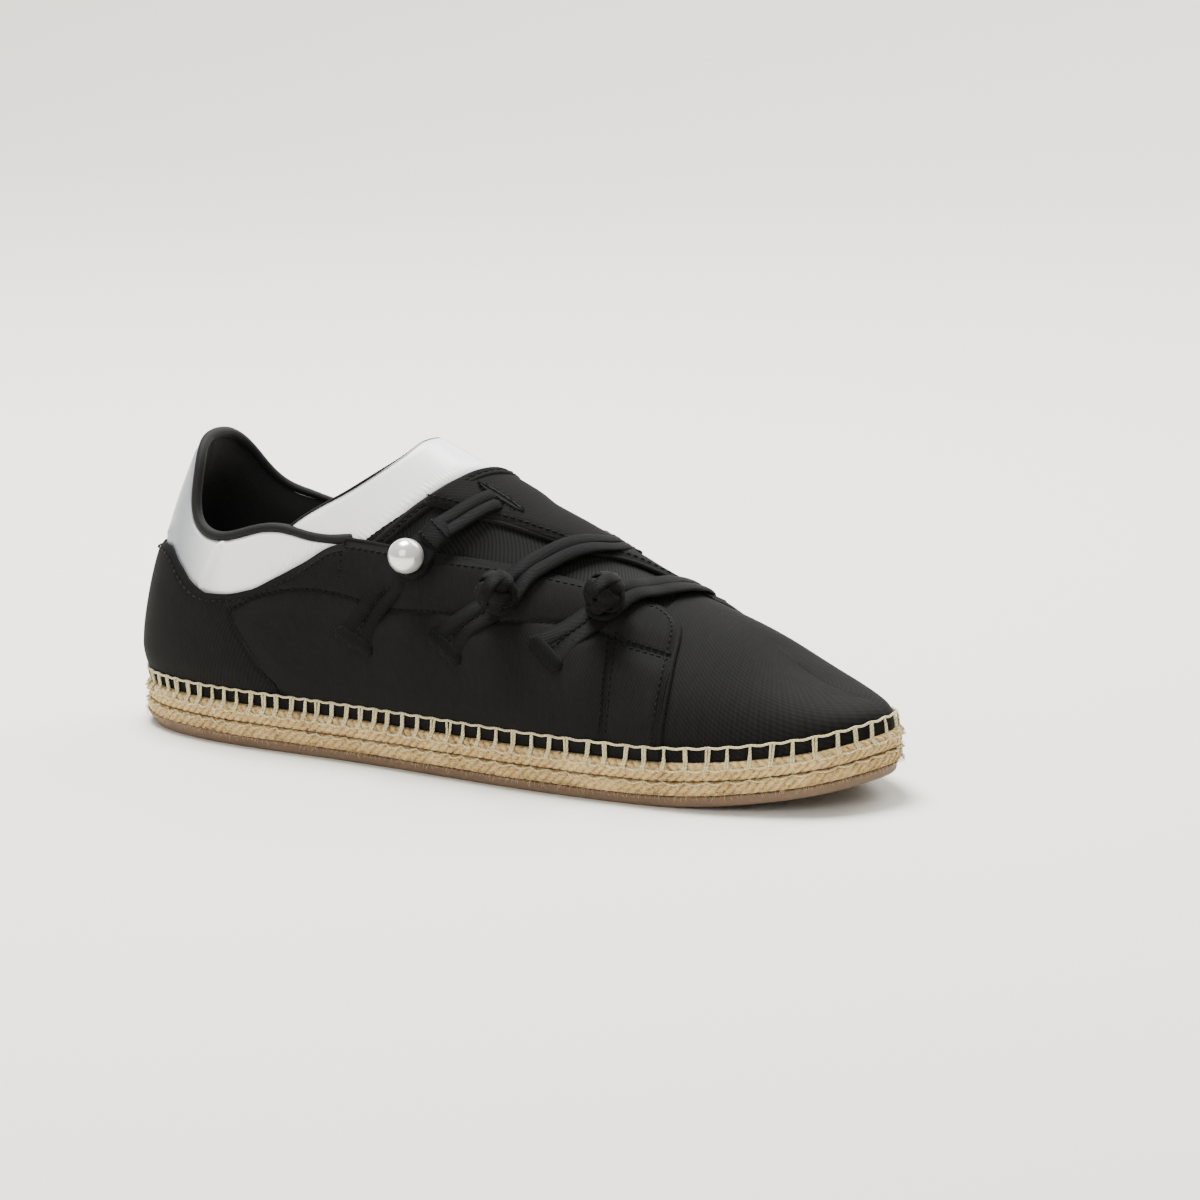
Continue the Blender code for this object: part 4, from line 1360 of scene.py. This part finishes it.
def make_sole():
    make_rope()
    make_outsole_side()
    sole_sheet("outsole_tread", 420, 90, ROPE_BULGE * 0.10, 0.0, tread, RUBBER, (), -1.0)
    inset = -WALL - GAP
    sole_sheet("insole_cloth", 200, 50, inset, 0.002, footbed, INSOLE, ("insole",), 1.0, 0.002)


def floor_side(x, y):
    """The outsole's underside: flat at heel and forefoot, lifted at toe, heel and arch."""
    along = x / LENGTH
    arch = np.sin(np.pi * np.clip((along - 0.26) / 0.34, 0, 1)) ** 2
    inner = ease(-0.2, 0.45, y / BALL_WIDTH)
    heel = HEEL_LIFT * np.clip((0.055 - along) / 0.055, 0, 1) ** 2
    return toe_rise(x) + heel + ARCH_LIFT * arch * inner


def feather(distance, rise, lift):
    """Points and normals up the upper's side from the feather line, all round the shoe."""
    turn = turn_at(distance)
    station = np.where(turn <= 1, turn, 2 - turn)
    knots = 41
    share = np.linspace(0, 0.4, knots)
    inner = (turn > 1)[..., None]
    climb = skin(station[..., None], np.where(inner, 2 - share, share))
    legs = np.linalg.norm(np.diff(climb, axis=-2), axis=-1)
    run = np.concatenate([np.zeros(turn.shape + (1,)), np.cumsum(legs, -1)], -1)
    flat = run.reshape(-1, knots)
    rise = np.broadcast_to(rise, turn.shape).ravel()
    c = np.array([np.interp(r, row, share) for r, row in zip(rise, flat)]).reshape(turn.shape)
    c = np.where(turn <= 1, c, 2 - c)
    normal = skin_normal(station, c)
    return skin(station, c) + normal * np.asarray(lift)[..., None], normal


def make_yarn():
    """Doubled upright stitches from the rope's top tier up on to the cloth, and chain lines."""
    spots = [0.0]
    while spots[-1] < GIRTH:
        turn = float(turn_at(spots[-1]))
        station = turn if turn <= 1 else 2 - turn
        spots.append(spots[-1] + STITCH_PITCH * (0.76 + 0.24 * float(ease(0.25, 0.70, station))))
    spots = np.array(spots) * GIRTH / spots[-1]
    maker = np.random.default_rng(4)
    count = len(spots) - 1
    spots[1:-1] += maker.uniform(-0.0005, 0.0005, count - 1)
    start, gap = spots[:-1], np.diff(spots)
    legs, tips = [], []
    sole_top = UPPER_ROPE_FOOT + UPPER_ROPE_THICK
    for aside in (-0.00040, 0.00040):
        lean = maker.uniform(-0.0006, 0.0006, count)
        rows, ups = [], []
        for k, rise in enumerate((STITCH_RISE, 0.0034, 0.0018, 0.0005)):
            at = start + aside + lean * (1 - k / 4)
            p, n = feather(at, rise, np.full(count, 0.0015 + 0.0002 * k / 3))
            rows.append(p)
            ups.append(n)
        for drop, out in ((0.0003, 0.0022), (0.0012, 0.0031), (0.0021, 0.0035)):
            p = round_sole(start + aside, out, sole_top - drop)
            rows.append(p)
            ups.append(unit(p - round_sole(start + aside, -0.004, sole_top - drop)))
        legs.append(np.stack(rows, 1))
        tips.append(np.stack(ups, 1))
    tubes("upright_stitches", np.concatenate(legs), YARN_RADIUS, np.concatenate(tips), YARN, 7)
    # Top thread: an arch from each upright to the next
    part = np.linspace(0, 1, 9)
    at = start[:, None] + gap[:, None] * part[None]
    jump = STITCH_RISE + 0.0002 - 0.0004 * np.sin(np.pi * part) ** 2
    p, n = feather(at, np.broadcast_to(jump, at.shape), np.full(at.shape, 0.0015))
    tubes("top_thread", p, YARN_RADIUS, n, YARN, 7)
    # Lower chain on the top tier, and the one between the tiers
    for name, height, out, sag in (
        ("upper_chain", sole_top - 0.0021, 0.0034, 0.0004),
        ("middle_chain", UPPER_ROPE_FOOT - 0.0002, 0.0031, 0.0006),
    ):
        waist = out - 0.0002 - 0.0008 * np.cos(2 * np.pi * part)
        p = round_sole(at, waist, height - sag * np.sin(np.pi * part))
        up = unit(p - round_sole(at, out - 0.004, height))
        tubes(name, p, 0.00034, up, YARN, 7)


def make_fibres():
    """Loose fibres that hang from the rope over the outsole and stand off it."""
    maker = np.random.default_rng(8)
    count, knots = 2400, 4
    at = maker.uniform(0, GIRTH, count)
    levels = [LOWER_ROPE_FOOT + 0.0006, UPPER_ROPE_FOOT, SOLE_HEIGHT - 0.002]
    height = maker.choice(levels, count, p=[0.72, 0.16, 0.12])
    height = height + maker.uniform(-0.0004, 0.0012, count)
    length = maker.uniform(0.0006, 0.0026, count)
    lean = maker.normal(0, 0.8, count)
    out = ROPE_BULGE + maker.uniform(0.0000, 0.0004, count)
    grow = np.linspace(0, 1, knots)[None]
    flare = maker.uniform(0.0002, 0.0013, count)[:, None]
    run = at[:, None] + (length * np.sin(lean))[:, None] * grow
    fall = (length * np.abs(np.cos(lean)))[:, None] * grow**1.2
    away = out[:, None] + flare * np.sin(grow * 2.2)
    height = np.clip(height[:, None] - fall, 0.0004, None)
    points = round_sole(run, away, height)
    radius = 0.00008 * (1 - 0.6 * grow) * maker.uniform(0.6, 1.2, count)[:, None]
    tubes("rope_fibres", points, radius, np.array([0.0, 0.0, 1.0]), LOWER_JUTE, 3)


# The fastenings
def make_strap(name, table):
    line = Line(table, count=60)
    reach = line.at[-1]
    apart = (TUBE_WIDTH + 0.0001) / 2
    loop = NECK_RADIUS + GAP + TUBE_WIDTH / 2
    throat = 2.6 * loop
    half = [(cut, apart) for cut in np.linspace(-0.001, reach - throat, 26)]
    for t in np.arange(1, 8) / 8:
        spread = apart + (loop * 0.8 - apart) * ease(0, 1, t)
        half.append((reach - throat + (throat - loop * 0.6) * t, spread))
    for angle in np.linspace(-0.15, math.pi / 2, 6)[:-1]:
        half.append((reach + loop * math.sin(angle), loop * math.cos(angle)))
    run = np.array(half + [(reach + loop, 0.0)] + [(s, -l) for s, l in half[::-1]])
    cut, aside = run.T
    p, n = line.over(cut, aside)
    # Over the tab towards the button, and down into the cloth at the sewn end
    over_tab = ease(reach - throat * 1.9, reach - throat * 1.05, cut)
    lift = GAP + CLOTH_TOP + (TAB_THICK + GAP) * over_tab + TUBE_HEIGHT / 2
    lift = lift - 0.0036 * ease(0.0030, -0.0006, cut)
    p = smoothed(p + n * lift[:, None], 2)
    wide = 0.0024 if name == "strap_1" else 0.0026 - 0.0009 * ease(0.030, 0.004, cut)
    tubes(name + "_tube", p, wide * 1.08, n, SATIN_TUBE, 14, 0.38, (name,))
    if name == "strap_3":
        span = np.linspace(-0.0070, 0.0070, 15)
        p, n = line.over(np.full(15, 0.0008), span)
        tubes(name + "_bar", p + n * 0.0017, 0.0024, n, SATIN_TUBE, 14, 0.42)
    if name == "strap_1":
        # A sewn wrap holds the two runs together above the pearl
        high = GAP + CLOTH_TOP + TAB_THICK + GAP + TUBE_HEIGHT / 2
        spot = reach - 0.0108
        p, n = line.over(spot + np.linspace(-0.0034, 0.0034, 9), 0.0)
        tubes(name + "_wrap", p + n * high, 0.0053, n, SATIN_TUBE, 22, 0.31)
        dash = np.linspace(-0.0048, 0.0048, 6)[:-1, None] + np.linspace(0, 0.0013, 5)[None]
        arch = high + 0.0017 * np.sqrt(np.clip(1 - (dash / 0.0055) ** 2, 0, 1))
        for label, move in (("low", -0.0026), ("high", 0.0026)):
            p, n = line.over(np.full(dash.shape, spot + move), dash)
            tubes(name + "_wrap_" + label, p + n * arch[..., None], 0.00032, n, THREAD, 6)


def make_tab(name, table):
    line = Line(table, count=40)
    reach = line.at[-1]
    cut = np.linspace(0.0022, reach + 0.002, 30)
    legs, ups = [], []
    for side in (-1, 1):
        splay = 0.0026 + 0.0019 * ease(0.014, 0.002, cut)
        p, n = line.over(cut, side * splay)
        lift = CLOTH_TOP + 0.0009 + 0.0003 * ease(0.004, 0.0, cut)
        legs.append(p + n * lift[:, None])
        ups.append(n)
    wide = 0.0029 + 0.0007 * ease(0.014, 0.002, cut)
    tubes(name + "_runs", np.array(legs), wide, np.array(ups), SATIN_TUBE, 14, 0.27, (name,))
    aside = np.linspace(-0.0080, 0.0080, 17)
    p, n = line.over(np.full(17, 0.0021), aside)
    round_end = 0.0029 * np.sqrt(np.clip(1 - (np.abs(aside) / 0.0086) ** 8, 0.35, 1))
    tubes(name + "_bar", p + n * 0.0025, round_end, n, SATIN_TUBE, 14, 0.46)
    middle = Line(table, count=120)
    stitches(name + "_stitches", middle, lambda cut: 0.0025, 0.0022, 0.6)


def button_frame(strap, radius, flat):
    station, across = STRAPS[strap][-1]
    foot, normal = skin(station, across), skin_normal(station, across)
    ahead = unit(np.gradient(Line(STRAPS[strap], count=40).points, axis=0)[-1])
    side = np.cross(normal, ahead)
    loop_top = GAP + TAB_THICK + GAP + 0.0022 + GAP
    centre = loop_top + radius * flat * np.sqrt(1 - ((NECK_RADIUS + GAP) / radius) ** 2)
    return foot, normal, ahead, side, centre


def make_knot(name, strap):
    foot, normal, ahead, side, centre = button_frame(strap, KNOT_RADIUS, KNOT_FLAT)
    middle = foot + normal * (centre + 0.0006)
    # One closed tube woven three times round and four times up and down
    t = np.linspace(0, 2 * np.pi, 241)
    lon, lat = 3 * t + 0.4, 0.92 * np.cos(4 * t) + 0.14
    ball = 0.0064 + 0.00080 * np.sin(8 * t)
    flat = ahead * np.cos(lon)[:, None] + side * np.sin(lon)[:, None] * 0.92
    way = flat * np.cos(lat)[:, None] + normal * (np.sin(lat) * 0.90)[:, None]
    path = middle + way * ball[:, None]
    tubes(name + "_weave", path, 0.0027, unit(way), SATIN_TUBE, 14, 0.40, (name,), closed=True)
    t = np.linspace(-0.95, 0.95, 25)
    arc = ahead * np.sin(t)[:, None] + normal * (np.cos(t) * 0.98)[:, None]
    tubes(name + "_crown", middle + arc * 0.0072, 0.0026, unit(arc), SATIN_TUBE, 14, 0.36)
    work = bmesh.new()
    bmesh.ops.create_icosphere(work, subdivisions=3, radius=0.0061)
    add_solid(name + "_core", work, middle, SATIN_TUBE)


def add_solid(name, work, middle, finish, nodes=()):
    """A closed shape from a bmesh, moved to its place."""
    bmesh.ops.translate(work, verts=work.verts, vec=placed(middle))
    mesh = bpy.data.meshes.new(name)
    work.to_mesh(mesh)
    work.free()
    mesh.uv_layers.new(name="lay")
    finished(name, mesh, finish, nodes)


def make_pearl():
    foot, normal, ahead, side, centre = button_frame("strap_1", PEARL_RADIUS, 1.0)
    work = bmesh.new()
    bmesh.ops.create_uvsphere(work, u_segments=48, v_segments=32, radius=PEARL_RADIUS)
    bmesh.ops.scale(work, vec=(1.0, 1.0, 0.985), verts=work.verts)
    add_solid("pearl_ball", work, foot + normal * (centre + 0.0003), PEARL, ("pearl",))
    angle = np.linspace(0, 2 * np.pi, 41)
    spoke = ahead * np.cos(angle)[:, None] + side * np.sin(angle)[:, None]
    ring = foot + normal * 0.0040 + spoke * 0.0054
    tubes("pearl_seat", ring, 0.0017, normal, SATIN_TUBE, 8, closed=True)


def make_slit(name, ends):
    line = Line(ends, count=40)
    angle = np.linspace(0, 2 * np.pi, 61)
    middle, wide, hairs = line.at[-1] / 2, 0.0009, 140
    long = middle + 0.0006
    p, n = line.over(middle + long * np.cos(angle), wide * np.sin(angle))
    tubes(name + "_rim", p + n * 0.0021, 0.0006, n, THREAD, 7, closed=True)
    # A flat dark strip along the slit's middle: painted shade for the dark opening
    p, n = line.over(np.linspace(0, line.at[-1], 24), 0.0)
    tubes(name + "_gap", p + n * 0.0020, 0.0012, n, THREAD, 8, 0.3)
    maker = np.random.default_rng(len(name) + int(ends[0][0] * 1000))
    at = maker.uniform(0, 2 * np.pi, hairs)
    grow = np.linspace(0, 1, 5)[None]
    reach = maker.uniform(0.0004, 0.0016, hairs)[:, None]
    cut = middle + (long + reach * grow) * np.cos(at)[:, None]
    aside = (wide + reach * grow) * np.sin(at)[:, None]
    p, n = line.over(cut, aside)
    lift = 0.0022 + 0.0008 * np.sin(grow * 2.5) * maker.uniform(0.2, 1, hairs)[:, None]
    tubes(name + "_fuzz", p + n * lift[..., None], 0.00011, n, THREAD, 3)


def make_heel_tab():
    """A small folded tab on the back of the collar."""

    def place(s, t):
        turn, across = (s - 0.5) * 0.034, 0.405 + 0.045 * t
        return np.abs(turn), np.where(turn <= 0, across, 2 - across)

    def lift(points, s, t, u, c):
        round_edge = ease(0, 0.1, s) * ease(1, 0.9, s) * ease(0, 0.16, t) * ease(1, 0.84, t)
        return 0.0009 + 0.0008 * round_edge

    panel("heel_tab", place, 24, 18, lift, SATIN_TUBE, (), CLOTH_THICK)


make_upper()
make_collar()
make_collar_roll()
make_instep_binding()
make_band_strip()
make_edges()
make_sole()
make_yarn()
make_fibres()
for strap_name, strap_table in STRAPS.items():
    make_strap(strap_name, strap_table)
for tab_name, tab_table in TABS.items():
    make_tab(tab_name, tab_table)
make_knot("knot_2", "strap_2")
make_knot("knot_3", "strap_3")
make_pearl()
for slit_name, slit_ends in SLITS.items():
    make_slit(slit_name, slit_ends)
make_heel_tab()

bpy.context.view_layer.update()
